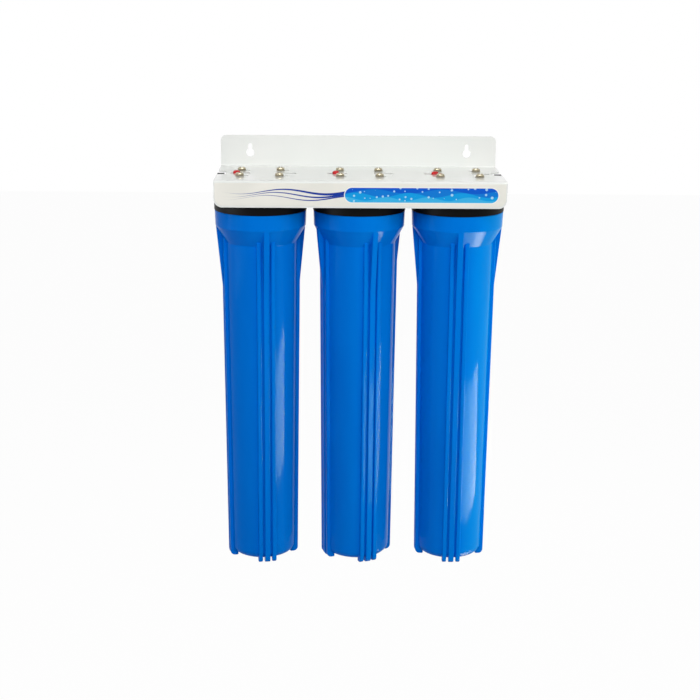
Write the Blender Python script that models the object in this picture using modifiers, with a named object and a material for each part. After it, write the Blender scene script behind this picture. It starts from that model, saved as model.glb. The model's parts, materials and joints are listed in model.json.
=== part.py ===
"""Triple water filter system: three 20 inch housings side by side under one bent steel bracket.

X runs along the bracket, -Y faces the user, +Y is the wall and +Z is up. The origin is where a wall
screw's shank sits in the keyholes, midway between them, on the bracket's rear face.
"""
import math

import bmesh
import bpy
from mathutils import Matrix, Vector

mm = 0.001

# Fits and cuts that all pieces share
seat_gap = 0.3 * mm
cut_overrun = 4 * mm
weld_distance = 0.01 * mm
ring_steps = 28
bore_steps = 20
cavity_steps = 16
coarse_steps = 12
screw_steps = 8
corner_steps = 4
o_ring_sides = 4

# Filter cartridges, and the spigots that they fit over
spigot_radius = 12.7 * mm
cartridge_bore_clearance = 1.3 * mm
cartridge_bore = spigot_radius + cartridge_bore_clearance
gasket_thickness = 3 * mm
gasket_radius = 23 * mm
media_radius = 31.5 * mm
core_wall = 1.6 * mm
canister_radius = 33 * mm
canister_wall = 2 * mm
end_plate_thickness = 4 * mm
end_plug_length = 10 * mm
block_radius = 30.5 * mm
end_skirt_wall = 1.7 * mm
end_skirt_length = 8 * mm

# Neck of the sump, with its seal
neck_radius = 55.4 * mm
neck_wall = 5.6 * mm
neck_bore_radius = neck_radius - neck_wall
neck_height = 14.5 * mm
o_ring_section = 3.2 * mm
o_ring_proud = 0.1 * mm
groove_below_top = 1.3 * mm
groove_width = o_ring_section + 2 * seat_gap
groove_depth = o_ring_section + seat_gap - o_ring_proud

# Cap, from its rim up
neck_clearance = 1 * mm
neck_recess_radius = neck_radius + neck_clearance
neck_top_clearance = 0.5 * mm
neck_recess_height = neck_height + neck_top_clearance
skirt_wall = 10.6 * mm
skirt_radius = neck_recess_radius + skirt_wall
skirt_height = 18.5 * mm
skirt_bevel = 2 * mm
shoulder_inset = 9 * mm
shoulder_radius = skirt_radius - shoulder_inset
shoulder_height = 28 * mm
crown_inset = 23 * mm
crown_radius = skirt_radius - crown_inset
crown_height = 42 * mm
chamber_ledge = 1.7 * mm
chamber_radius = neck_bore_radius + chamber_ledge
chamber_height = 22 * mm
standpipe_radius = 15 * mm
standpipe_drop = 9.7 * mm
standpipe_flange_radius = 22 * mm
standpipe_flange_thickness = 4 * mm
standpipe_bore_radius = 9 * mm
outlet_passage_radius = 8 * mm
spigot_length = 11 * mm

# Housings
housing_count = 3
housing_gap = 9 * mm
housing_pitch = 2 * skirt_radius + housing_gap
wall_clearance = 13 * mm
housing_to_wall = skirt_radius + wall_clearance

# Ports of the cap, and the nipples that join the caps
port_gap = 18 * mm
port_span = housing_pitch - port_gap
port_face = port_span / 2
port_height = 31 * mm
port_bore_radius = 12 * mm
port_wall = 5.5 * mm
port_barrel_radius = port_bore_radius + port_wall
port_ring_proud = 2.8 * mm
port_ring_radius = port_barrel_radius + port_ring_proud
port_ring_length = 10 * mm
port_ring_setback = 0.5 * mm
outlet_channel_radius = 14 * mm
nipple_engagement = 15 * mm
nipple_end_clearance = 5 * mm
port_bore_depth = nipple_engagement + nipple_end_clearance
nipple_wall = 3 * mm
nipple_hex_proud = 1.5 * mm
nipple_hex_flats = 2 * (port_bore_radius + nipple_hex_proud)

# The barrels' top clears the shelf, and the bosses reach up to it
barrel_clearance = 0.7 * mm
cap_height = port_height + port_barrel_radius + barrel_clearance
web_thickness = 3 * mm
web_below_top = 3.2 * mm
web_height = cap_height - web_below_top

# Bracket, one sheet bent twice
sheet = 2 * mm
bend_inner_radius = 2 * mm
bracket_end_inset = 0.5 * mm
bracket_width = (housing_count - 1) * housing_pitch + port_span - 2 * bracket_end_inset
flange_clearance = 9 * mm
bracket_depth = housing_to_wall + skirt_radius + flange_clearance + sheet
plate_height = 45.5 * mm
flange_height = 37.5 * mm
plate_corner_radius = 8 * mm
flange_corner_radius = 12 * mm
keyhole_spacing = 323 * mm
keyhole_below_top = 15 * mm
keyhole_drop = 11 * mm
keyhole_slot_width = 6 * mm
keyhole_head_diameter = 12.3 * mm
end_notch_inset = 2 * mm
end_notch_width = 2 * (port_barrel_radius - end_notch_inset)
end_notch_shift = 3 * mm
end_notch_clearance = 3 * mm
end_notch_depth = port_ring_length + port_ring_setback - bracket_end_inset + end_notch_clearance
end_notch_corner_radius = 6 * mm
end_notch_rear_radius = 10 * mm
end_notch_front_radius = 4 * mm

# Screws with washers, their bosses on the cap and their slots in the shelf
screw_spacing_x = 56.4 * mm
screw_spacing_y = 57 * mm
boss_radius = 8 * mm
boss_root = 28 * mm
screw_radius = 2.4 * mm
screw_length = 22 * mm
screw_tip = 3 * mm
screw_tip_clearance = 2.1 * mm
screw_head_radius = 5.9 * mm
screw_head_height = 3.5 * mm
screw_head_rim = 0.9 * mm
screw_hole_clearance = 0.3 * mm
washer_overhang = 0.4 * mm
washer_radius = screw_head_radius + washer_overhang
washer_thickness = 1.2 * mm
slot_group_inset = 3.5 * mm
slot_group_pitch = housing_pitch - slot_group_inset
slot_group_shift = 1.5 * mm
screw_slot_clearance = 0.85 * mm
screw_slot_width = 2 * (screw_radius + screw_slot_clearance)
screw_slot_travel = 9.5 * mm
screw_slot_length = screw_slot_width + screw_slot_travel

# Pressure relief button, its spring, its seal and its slot in the shelf
button_radius = 5.3 * mm
button_proud = 4.3 * mm
button_dome_height = 3.2 * mm
button_engagement = 1.1 * mm
button_stem_radius = 1.9 * mm
button_stem_clearance = 0.4 * mm
button_foot_radius = 4 * mm
button_foot_thickness = 1.4 * mm
relief_well_clearance = 0.6 * mm
relief_well_radius = button_radius + relief_well_clearance
relief_port_wall = 2.6 * mm
relief_offset = port_face - port_bore_depth - relief_well_radius - relief_port_wall
relief_boss_wall = 2.8 * mm
relief_boss_radius = relief_well_radius + relief_boss_wall
relief_boss_below_top = 0.6 * mm
relief_boss_height = cap_height - relief_boss_below_top
relief_well_depth = 10.6 * mm
relief_well_floor = relief_boss_height - relief_well_depth
relief_seal_thickness = 1.8 * mm
spring_wire_radius = 0.4 * mm
spring_wall_clearance = 1.65 * mm
spring_radius = relief_well_radius - spring_wall_clearance - spring_wire_radius
spring_turns = 3
spring_points_per_turn = 8
relief_slot_clearance = 0.75 * mm
relief_slot_width = 2 * (button_radius + relief_slot_clearance)
relief_slot_travel = 16.5 * mm
relief_slot_length = relief_slot_width + relief_slot_travel
relief_slot_inset = 0.5 * mm
relief_slot_spacing = 2 * (relief_offset - relief_slot_inset)

# Label on the front flange
label_side_margin = 5.5 * mm
label_bottom_margin = 2.6 * mm
label_thickness = 0.3 * mm
label_corner_radius = 8 * mm

# Sump, from its collar's top face
sump_height = 532 * mm
sump_wall = 4 * mm
sump_floor = 4.5 * mm
collar_setback = 1.4 * mm
collar_radius = skirt_radius - collar_setback
collar_draft = 1 * mm
collar_low_radius = collar_radius - collar_draft
collar_bevel = 1 * mm
collar_height = 22 * mm
cone_height = 24 * mm
body_inset = 2.2 * mm
body_top_radius = neck_radius - body_inset
body_taper = 4.2 * mm
body_bottom_radius = body_top_radius - body_taper
dome_corner_radius = 12 * mm
foot_height = 4 * mm
seat_ring_height = 5.5 * mm
seat_ring_radius = 21 * mm
seat_ring_width = 2 * mm
floor_corner_radius = 8 * mm
sump_spigot_length = 10 * mm
sump_turns_deg = (10, 20.5, 0)

# Ribs of the sump, four groups of three
rib_groups = 4
rib_proud = 4 * mm
rib_root = 2.5 * mm
rib_spacing = 10.3 * mm
side_rib_width = 6.5 * mm
fin_width = 8 * mm
fin_length = 90 * mm
fin_inset = 0.3 * mm
foot_corner_radius = 7 * mm
foot_inset = 9 * mm
foot_inner_radius = body_bottom_radius - foot_inset
rib_start_share = 0.6

# Heights in the part's frame
plate_top = keyhole_below_top
shelf_top = plate_top - plate_height
shelf_under = shelf_top - sheet
flange_bottom = shelf_top - flange_height
cap_rim = shelf_under - seat_gap - cap_height
collar_top = cap_rim - seat_gap

# Heights from the cap's rim or the sump's collar
cap_to_shelf_top = shelf_top - cap_rim
body_top = -collar_height - cone_height
body_bottom = foot_height - sump_height
dome_start = body_bottom + dome_corner_radius
cavity_floor = body_bottom + sump_floor
cartridge_top = -standpipe_drop - seat_gap
cartridge_bottom = cavity_floor + seat_ring_height + collar_top - cap_rim + seat_gap


def clear_scene():
    for thing in list(bpy.data.objects):
        bpy.data.objects.remove(thing, do_unlink=True)


def new_collection(name, hidden=False):
    made = bpy.data.collections.new(name)
    bpy.context.scene.collection.children.link(made)
    made.hide_render = hidden
    return made


def principled(name, colour, roughness, metallic=0.0):
    made = bpy.data.materials.new(name)
    made.use_nodes = True
    shader = made.node_tree.nodes["Principled BSDF"]
    shader.inputs["Base Color"].default_value = (*colour, 1.0)
    shader.inputs["Roughness"].default_value = roughness
    shader.inputs["Metallic"].default_value = metallic
    made.diffuse_color = (*colour, 1.0)
    return made


clear_scene()
part_collection = new_collection("triple_water_filter")
cutter_collection = new_collection("cutters", hidden=True)

white_steel = principled("white_powder_coat", (0.78, 0.80, 0.77), 0.28)
cream_film = principled("cream_label_film", (0.77, 0.75, 0.69), 0.45)
black_plastic = principled("black_polypropylene", (0.012, 0.012, 0.013), 0.42)
blue_plastic = principled("blue_polypropylene", (0.003, 0.125, 0.60), 0.2)
red_plastic = principled("red_button_plastic", (0.62, 0.012, 0.015), 0.3)
rubber = principled("black_rubber", (0.02, 0.02, 0.02), 0.6)
zinc_steel = principled("zinc_plated_steel", (0.72, 0.66, 0.54), 0.25, 1.0)
spring_steel = principled("spring_steel", (0.55, 0.55, 0.56), 0.3, 1.0)
white_fibre = principled("white_melt_blown_fibre", (0.82, 0.82, 0.80), 0.9)
white_plastic = principled("white_end_plastic", (0.80, 0.80, 0.78), 0.4)
carbon = principled("pressed_carbon", (0.02, 0.02, 0.02), 0.85)


def keep(thing, material, parent, location):
    """Files a finished object under the part, or as a helper when it has no material."""
    for old in list(thing.users_collection):
        old.objects.unlink(thing)
    if material is None:
        cutter_collection.objects.link(thing)
        thing.hide_render = True
        thing.display_type = "WIRE"
    else:
        part_collection.objects.link(thing)
        thing.data.materials.clear()
        thing.data.materials.append(material)
    thing.parent = parent
    thing.location = location
    return thing


def empty(name, location, turn=0.0, parent=None):
    made = bpy.data.objects.new(name, None)
    part_collection.objects.link(made)
    made.parent = parent
    made.location = location
    made.rotation_euler.z = turn
    return made


def turned(name, profile, material=None, parent=None, location=(0, 0, 0), ring=False, steps=ring_steps):
    """Turns a profile of (radius, height) points about Z. A ring's profile is closed on itself."""
    edges = [(i, i + 1) for i in range(len(profile) - 1)]
    if ring:
        edges.append((len(profile) - 1, 0))
    mesh = bpy.data.meshes.new(name)
    mesh.from_pydata([(radius, 0, height) for radius, height in profile], edges, [])
    made = bpy.data.objects.new(name, mesh)
    screw = made.modifiers.new("Turn", "SCREW")
    screw.axis = "Z"
    screw.steps = steps
    screw.render_steps = steps
    screw.use_merge_vertices = True
    screw.merge_threshold = weld_distance
    return keep(made, material, parent, location)


def flat(name, outlines, thickness, material=None, parent=None, location=(0, 0, 0), turn=(0, 0, 0)):
    """Extrudes flat outlines both ways along their own Z; an outline inside another is a hole."""
    curve = bpy.data.curves.new(name, "CURVE")
    curve.dimensions = "2D"
    curve.fill_mode = "BOTH"
    curve.extrude = thickness / 2
    for outline in outlines:
        spline = curve.splines.new("POLY")
        spline.points.add(len(outline) - 1)
        for point, (x, y) in zip(spline.points, outline):
            point.co = (x, y, 0, 1)
        spline.use_cyclic_u = True
    made = bpy.data.objects.new(name, curve)
    bpy.context.scene.collection.objects.link(made)
    bpy.ops.object.select_all(action="DESELECT")
    made.select_set(True)
    bpy.context.view_layer.objects.active = made
    bpy.ops.object.convert(target="MESH")
    made = bpy.context.object
    cleaned = bmesh.new()
    cleaned.from_mesh(made.data)
    bmesh.ops.remove_doubles(cleaned, verts=cleaned.verts, dist=weld_distance)
    bmesh.ops.recalc_face_normals(cleaned, faces=cleaned.faces)
    cleaned.to_mesh(made.data)
    cleaned.free()
    made.rotation_euler = turn
    return keep(made, material, parent, location)


def rod(name, radius, start, end, material=None, parent=None, sides=coarse_steps, turn=0.0):
    """A cylinder, or a prism of few sides, between two points."""
    start = Vector(start)
    along = Vector(end) - start
    mesh = bpy.data.meshes.new(name)
    shape = bmesh.new()
    placed = along.to_track_quat("Z", "Y").to_matrix().to_4x4() @ Matrix.Rotation(turn, 4, "Z")
    bmesh.ops.create_cone(
        shape,
        cap_ends=True,
        segments=sides,
        radius1=radius,
        radius2=radius,
        depth=along.length,
        matrix=placed,
    )
    shape.to_mesh(mesh)
    shape.free()
    return keep(bpy.data.objects.new(name, mesh), material, parent, start + along / 2)


def joined(name, pieces):
    """Joins helpers that don't touch into one, so that one Boolean takes them all."""
    bpy.context.view_layer.update()
    merged = bmesh.new()
    parent = pieces[0].parent
    for piece in pieces:
        mesh = piece.data.copy()
        mesh.transform(piece.matrix_basis)
        merged.from_mesh(mesh)
        bpy.data.meshes.remove(mesh)
        bpy.data.objects.remove(piece, do_unlink=True)
    mesh = bpy.data.meshes.new(name)
    merged.to_mesh(mesh)
    merged.free()
    return keep(bpy.data.objects.new(name, mesh), None, parent, (0, 0, 0))


def combine(thing, other, operation):
    boolean = thing.modifiers.new(other.name, "BOOLEAN")
    boolean.operation = operation
    boolean.solver = "EXACT"
    boolean.object = other


def arc(centre, radius, start_deg, end_deg, steps=corner_steps):
    """Points along an arc, both ends included, with angles from the first axis to the second."""
    points = []
    for step in range(steps + 1):
        angle = math.radians(start_deg + (end_deg - start_deg) * step / steps)
        points.append((centre[0] + radius * math.cos(angle), centre[1] + radius * math.sin(angle)))
    return points


def rounded(corners, radii):
    """An outline with each corner rounded to its radius."""
    outline = []
    for index, (corner, radius) in enumerate(zip(corners, radii)):
        here = Vector(corner)
        if radius == 0:
            outline.append(tuple(here))
            continue
        before = (Vector(corners[index - 1]) - here).normalized()
        after = (Vector(corners[(index + 1) % len(corners)]) - here).normalized()
        half = before.angle(after) / 2
        centre = here + (before + after).normalized() * radius / math.sin(half)
        start = here + before * radius / math.tan(half) - centre
        end = here + after * radius / math.tan(half) - centre
        first = math.degrees(math.atan2(start.y, start.x))
        sweep = math.degrees(math.atan2(start.x * end.y - start.y * end.x, start.dot(end)))
        outline += arc(centre, radius, first, first + sweep)
    return outline


def slot_outline(length, width):
    reach = (length - width) / 2
    return arc((reach, 0), width / 2, -90, 90) + arc((-reach, 0), width / 2, 90, 270)


def keyhole_outline():
    """A round hole for a screw's head, with a slot up from it for the shank."""
    slot = keyhole_slot_width / 2
    head = keyhole_head_diameter / 2
    meet = math.degrees(math.asin(slot / head))
    return arc((0, 0), slot, 0, 180) + arc((0, -keyhole_drop), head, 90 + meet, 450 - meet, ring_steps // 2)


def notch_outline(side):
    """An end notch, about the point where the ports' axis crosses the shelf's end."""
    front = end_notch_shift - end_notch_width / 2
    rear = end_notch_shift + end_notch_width / 2
    corner = end_notch_corner_radius
    inner = corner - end_notch_depth
    points = [(cut_overrun, rear + end_notch_rear_radius)]
    points += arc((-end_notch_rear_radius, rear + end_notch_rear_radius), end_notch_rear_radius, 0, -90)
    points += arc((inner, rear - corner), corner, 90, 180)
    points += arc((inner, front + corner), corner, 180, 270)
    points += arc((-end_notch_front_radius, front - end_notch_front_radius), end_notch_front_radius, 90, 0)
    points.append((cut_overrun, front - end_notch_front_radius))
    return [(x * side, y) for x, y in points]


def corner_offcut(radius, right, up):
    """What rounding takes off a square corner, as an outline about the rounding's centre."""
    far = radius + cut_overrun
    points = [(radius, 0), (far, 0), (far, far), (0, far)] + arc((0, 0), radius, 90, 0)
    return [(x * right, y * up) for x, y in points]


def housing_places():
    """The X of each housing's axis, from left to right."""
    middle = (housing_count - 1) / 2
    return [(index - middle) * housing_pitch for index in range(housing_count)]


facing_front = (math.pi / 2, 0, 0)
bore_half_facet = math.pi / bore_steps
coarse_half_facet = math.pi / coarse_steps


def build_bracket():
    """The sheet's section runs down the plate, along the shelf and down the flange."""
    outer = bend_inner_radius + sheet
    corners = [
        (0, plate_top),
        (0, shelf_under),
        (sheet - bracket_depth, shelf_under),
        (sheet - bracket_depth, flange_bottom),
        (-bracket_depth, flange_bottom),
        (-bracket_depth, shelf_top),
        (-sheet, shelf_top),
        (-sheet, plate_top),
    ]
    section = rounded(corners, (0, outer, bend_inner_radius, 0, 0, outer, bend_inner_radius, 0))
    bracket = flat("bracket", [section], bracket_width, white_steel, turn=(math.pi / 2, 0, math.pi / 2))
    through = sheet + 2 * cut_overrun
    cutters = []
    for side in (-1, 1):
        place = (side * keyhole_spacing / 2, -sheet / 2, 0)
        cutters.append(flat("keyhole_cut", [keyhole_outline()], through, location=place, turn=facing_front))
        top_x = side * (bracket_width / 2 - plate_corner_radius)
        place = (top_x, -sheet / 2, plate_top - plate_corner_radius)
        cut = [corner_offcut(plate_corner_radius, side, 1)]
        cutters.append(flat("plate_corner_cut", cut, through, location=place, turn=facing_front))
        low_x = side * (bracket_width / 2 - flange_corner_radius)
        place = (low_x, sheet / 2 - bracket_depth, flange_bottom + flange_corner_radius)
        cut = [corner_offcut(flange_corner_radius, side, -1)]
        cutters.append(flat("flange_corner_cut", cut, through, location=place, turn=facing_front))
        place = (side * bracket_width / 2, -housing_to_wall, (shelf_top + shelf_under) / 2)
        cutters.append(flat("end_notch_cut", [notch_outline(side)], through, location=place))
    middle = (housing_count - 1) / 2
    shelf_middle = (shelf_top + shelf_under) / 2
    for index in range(housing_count):
        group_x = (index - middle) * slot_group_pitch + slot_group_shift
        for side in (-1, 1):
            outline = slot_outline(relief_slot_length, relief_slot_width)
            place = (group_x + side * relief_slot_spacing / 2, -housing_to_wall, shelf_middle)
            cutters.append(flat("relief_slot_cut", [outline], through, location=place))
            for row in (-1, 1):
                outline = slot_outline(screw_slot_length, screw_slot_width)
                slot_y = row * screw_spacing_y / 2 - housing_to_wall
                place = (group_x + side * screw_spacing_x / 2, slot_y, shelf_middle)
                cutters.append(flat("screw_slot_cut", [outline], through, location=place))
    combine(bracket, joined("bracket_cuts", cutters), "DIFFERENCE")


def build_label():
    """A film on the flange's flat, clear of the bend and the rounded corners."""
    half = bracket_width / 2 - label_side_margin
    top = shelf_top - bend_inner_radius - sheet
    low = flange_bottom + label_bottom_margin
    corners = [(-half, low), (half, low), (half, top), (-half, top)]
    outline = rounded(corners, (label_corner_radius, label_corner_radius, 0, 0))
    place = (0, -bracket_depth - seat_gap - label_thickness / 2, 0)
    flat("front_label", [outline], label_thickness, cream_film, location=place, turn=facing_front)


def screw_places():
    spots = []
    for row in (-1, 1):
        for side in (-1, 1):
            spots.append((side * screw_spacing_x / 2, row * screw_spacing_y / 2))
    return spots


def cap_chamber(name, housing):
    """The space inside the cap: the neck's recess and, above it, the water round the standpipe."""
    low = standpipe_flange_thickness - standpipe_drop
    profile = [
        (chamber_radius, chamber_height),
        (chamber_radius, neck_recess_height),
        (neck_recess_radius, neck_recess_height),
        (neck_recess_radius, low),
        (standpipe_radius, low),
        (standpipe_radius, chamber_height),
    ]
    chamber = turned(name, profile, None, housing, ring=True, steps=bore_steps)
    start = (0, 0, port_height)
    end = (neck_recess_radius + neck_clearance, 0, port_height)
    turn = bore_half_facet
    channel = rod(name + "_channel", outlet_channel_radius, start, end, None, housing, bore_steps, turn)
    combine(chamber, channel, "DIFFERENCE")
    return chamber


def relief_cut(name, housing):
    """The well that holds the spring, and the stem's hole below it."""
    stem = button_stem_radius + button_stem_clearance
    profile = [
        (0, relief_boss_height + cut_overrun),
        (relief_well_radius, relief_boss_height + cut_overrun),
        (relief_well_radius, relief_well_floor),
        (stem, relief_well_floor),
        (stem, chamber_height - cut_overrun),
        (0, chamber_height - cut_overrun),
    ]
    cut = turned(name, profile, None, housing, (-relief_offset, 0, 0), steps=coarse_steps)
    cut.rotation_euler.z = coarse_half_facet
    return cut


def build_cap(number, housing):
    """A moulded head: skirt, crown, two ports, four screw bosses and a standpipe with its own channel."""
    name = f"cap_{number}"
    outside = [
        (0, crown_height),
        (crown_radius, crown_height),
        (shoulder_radius, shoulder_height),
        (skirt_radius - skirt_bevel, skirt_height),
        (skirt_radius, skirt_height - skirt_bevel),
        (skirt_radius, 0),
        (standpipe_flange_radius, 0),
        (standpipe_flange_radius, -standpipe_drop),
        (spigot_radius, -standpipe_drop),
        (spigot_radius, -standpipe_drop - spigot_length),
        (0, -standpipe_drop - spigot_length),
    ]
    cap = turned(name, outside, black_plastic, housing)
    left = (-port_face, 0, port_height)
    right = (port_face, 0, port_height)
    turn = bore_half_facet
    barrel = rod(name + "_barrel", port_barrel_radius, left, right, None, housing, bore_steps, turn)
    combine(cap, barrel, "UNION")
    outward = {1: -1, housing_count: 1}.get(number)
    if outward:
        # a ring stiffens each end port, and stands in the notch at the shelf's end
        far = port_face - port_ring_setback
        near = (outward * (far - port_ring_length), 0, port_height)
        far = (outward * far, 0, port_height)
        ring = rod(name + "_end_ring", port_ring_radius, near, far, None, housing, bore_steps, turn)
        combine(cap, ring, "UNION")
    half_x = screw_spacing_x / 2
    half_y = screw_spacing_y / 2
    frame = []
    for grow in (web_thickness / 2, -web_thickness / 2):
        x = half_x + grow
        y = half_y + grow
        frame.append([(-x, -y), (x, -y), (x, y), (-x, y)])
    web_middle = (crown_height + web_height) / 2 - web_thickness / 2
    web_depth = web_height - crown_height + web_thickness
    combine(cap, flat(name + "_webs", frame, web_depth, None, housing, (0, 0, web_middle)), "UNION")
    bosses = []
    holes = []
    hole_radius = screw_radius + screw_hole_clearance
    screw_end = cap_to_shelf_top + washer_thickness + 2 * seat_gap - screw_length
    for x, y in screw_places():
        bosses.append(rod(name + "_boss", boss_radius, (x, y, boss_root), (x, y, cap_height), None, housing))
        low = (x, y, screw_end - screw_tip_clearance)
        high = (x, y, cap_height + cut_overrun)
        holes.append(rod(name + "_hole", hole_radius, low, high, None, housing, screw_steps))
    low = (-relief_offset, 0, relief_well_floor)
    high = (-relief_offset, 0, relief_boss_height)
    combine(cap, joined(name + "_bosses", bosses), "UNION")
    combine(cap, rod(name + "_relief_boss", relief_boss_radius, low, high, None, housing), "UNION")
    combine(cap, cap_chamber(name + "_chamber", housing), "DIFFERENCE")
    combine(cap, joined(name + "_holes", holes), "DIFFERENCE")
    combine(cap, relief_cut(name + "_relief", housing), "DIFFERENCE")
    bores = []
    for side in (-1, 1):
        inner = (side * (port_face - port_bore_depth), 0, port_height)
        mouth = (side * (port_face + cut_overrun), 0, port_height)
        bores.append(rod(name + "_bore", port_bore_radius, inner, mouth, None, housing, bore_steps, turn))
    combine(cap, joined(name + "_bores", bores), "DIFFERENCE")
    start = (0, 0, port_height)
    end = (port_face - port_bore_depth / 2, 0, port_height)
    combine(cap, rod(name + "_passage", outlet_passage_radius, start, end, None, housing), "DIFFERENCE")
    low = (0, 0, -standpipe_drop - spigot_length - cut_overrun)
    high = (0, 0, port_height + standpipe_bore_radius)
    radius = standpipe_bore_radius
    riser = rod(name + "_riser", radius, low, high, None, housing, turn=coarse_half_facet)
    combine(cap, riser, "DIFFERENCE")


def build_screws(number, housing):
    """Four domed screws with washers hold each cap under the shelf."""
    under = cap_to_shelf_top + washer_thickness + 2 * seat_gap
    top = under + screw_head_height
    dome = screw_head_height - screw_head_rim
    tip = under - screw_length
    crown = [(screw_head_radius * x, under + screw_head_rim + dome * y) for x, y in arc((0, 0), 1, 90, 0)]
    screw = crown[:-1] + [
        (screw_head_radius, top - dome),
        (screw_head_radius, under),
        (screw_radius, under),
        (screw_radius, tip + screw_tip),
        (0, tip),
    ]
    screw[0] = (0, top)
    hole = screw_radius + screw_hole_clearance
    low = cap_to_shelf_top + seat_gap
    washer = [
        (washer_radius, low + washer_thickness),
        (washer_radius, low),
        (hole, low),
        (hole, low + washer_thickness),
    ]
    for spot, (x, y) in enumerate(screw_places(), 1):
        place = (x, y, 0)
        turned(f"cap_screw_{number}_{spot}", screw, zinc_steel, housing, place, steps=screw_steps)
        name = f"screw_washer_{number}_{spot}"
        turned(name, washer, zinc_steel, housing, place, ring=True, steps=coarse_steps)


def spring_curve(name, low, high):
    """An open helix of round wire between two heights, measured to the wire's centre."""
    curve = bpy.data.curves.new(name, "CURVE")
    curve.dimensions = "3D"
    curve.bevel_depth = spring_wire_radius
    curve.bevel_resolution = 0
    curve.use_fill_caps = True
    spline = curve.splines.new("POLY")
    count = spring_turns * spring_points_per_turn
    spline.points.add(count)
    for index, point in enumerate(spline.points):
        angle = math.tau * index / spring_points_per_turn
        height = low + (high - low) * index / count
        point.co = (spring_radius * math.cos(angle), spring_radius * math.sin(angle), height, 1)
    return bpy.data.objects.new(name, curve)


def build_relief(number, housing):
    """The red button stands through the shelf's slot; its foot and seal close the stem's hole."""
    place = (-relief_offset, 0, 0)
    top = cap_to_shelf_top + button_proud
    head_low = relief_boss_height - button_engagement
    seal_top = chamber_height - seat_gap
    foot_top = seal_top - relief_seal_thickness - seat_gap
    dome = [(button_radius * x, top + button_dome_height * (y - 1)) for x, y in arc((0, 0), 1, 90, 0)]
    profile = dome[1:] + [
        (button_radius, head_low),
        (button_stem_radius, head_low),
        (button_stem_radius, foot_top),
        (button_foot_radius, foot_top),
        (button_foot_radius, foot_top - button_foot_thickness),
        (0, foot_top - button_foot_thickness),
    ]
    steps = coarse_steps
    turned(f"relief_button_{number}", [(0, top)] + profile, red_plastic, housing, place, steps=steps)
    stem_hole = button_stem_radius + seat_gap
    seal = [
        (button_foot_radius, seal_top),
        (button_foot_radius, seal_top - relief_seal_thickness),
        (stem_hole, seal_top - relief_seal_thickness),
        (stem_hole, seal_top),
    ]
    turned(f"relief_seal_{number}", seal, rubber, housing, place, ring=True, steps=steps)
    reach = seat_gap + spring_wire_radius
    spring = spring_curve(f"relief_spring_{number}", relief_well_floor + reach, head_low - reach)
    keep(spring, spring_steel, housing, place)


def body_radius(height):
    """The sump body's outer radius at a height, which tapers evenly from the cone down to the dome."""
    share = (body_top - height) / (body_top - dome_start)
    return body_top_radius + (body_bottom_radius - body_top_radius) * share


def rib_outline(is_fin):
    """A rib in the plane of its group: up the body, or up to the collar for the middle fin."""
    sag = 0 if is_fin else rib_spacing**2 / 2 / body_top_radius
    foot = -sump_height
    outer_low = body_bottom_radius + rib_proud - sag
    fin_end = body_top - fin_length + cone_height
    if is_fin:
        top = -collar_height + collar_bevel
        head = [(collar_low_radius - fin_inset, top), (body_radius(fin_end) + rib_proud, fin_end)]
    else:
        top = -collar_height - cone_height * rib_start_share
        head = [(body_radius(top) + rib_proud - sag, top)]
    corner = (outer_low - foot_corner_radius, foot + foot_corner_radius)
    low = arc(corner, foot_corner_radius, 0, -90, corner_steps // 2)
    inner = [
        (foot_inner_radius, foot),
        (foot_inner_radius, dome_start),
        (body_bottom_radius - rib_root - sag, dome_start + dome_corner_radius),
        (body_top_radius - rib_root - sag, top),
    ]
    return head + low + inner


def sump_ribs(name, parent):
    ribs = []
    for group in range(rib_groups):
        turn = math.tau * group / rib_groups
        for place in (-1, 0, 1):
            width = side_rib_width if place else fin_width
            rib = flat(name, [rib_outline(place == 0)], width, None, parent, turn=(math.pi / 2, 0, turn))
            across = Vector((-math.sin(turn), math.cos(turn), 0))
            rib.location = across * place * rib_spacing
            ribs.append(rib)
    return joined(name, ribs)


def sump_cavity(name, parent):
    """The hollow for water and cartridge, shaped round the seat ring and spigot on the floor."""
    corner = (body_bottom_radius - sump_wall - floor_corner_radius, cavity_floor + floor_corner_radius)
    seat = cavity_floor + seat_ring_height
    profile = [(0, neck_height + cut_overrun), (neck_bore_radius, neck_height + cut_overrun)]
    profile.append((neck_bore_radius, -collar_height))
    profile.append((body_top_radius - sump_wall, body_top))
    profile += arc(corner, floor_corner_radius, 0, -90, corner_steps // 2)
    profile += [
        (seat_ring_radius, cavity_floor),
        (seat_ring_radius, seat),
        (seat_ring_radius - seat_ring_width, seat),
        (seat_ring_radius - seat_ring_width, cavity_floor),
        (spigot_radius, cavity_floor),
        (spigot_radius, cavity_floor + sump_spigot_length + seat_ring_height),
        (0, cavity_floor + sump_spigot_length + seat_ring_height),
    ]
    return turned(name, profile, None, parent, steps=cavity_steps)


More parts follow.
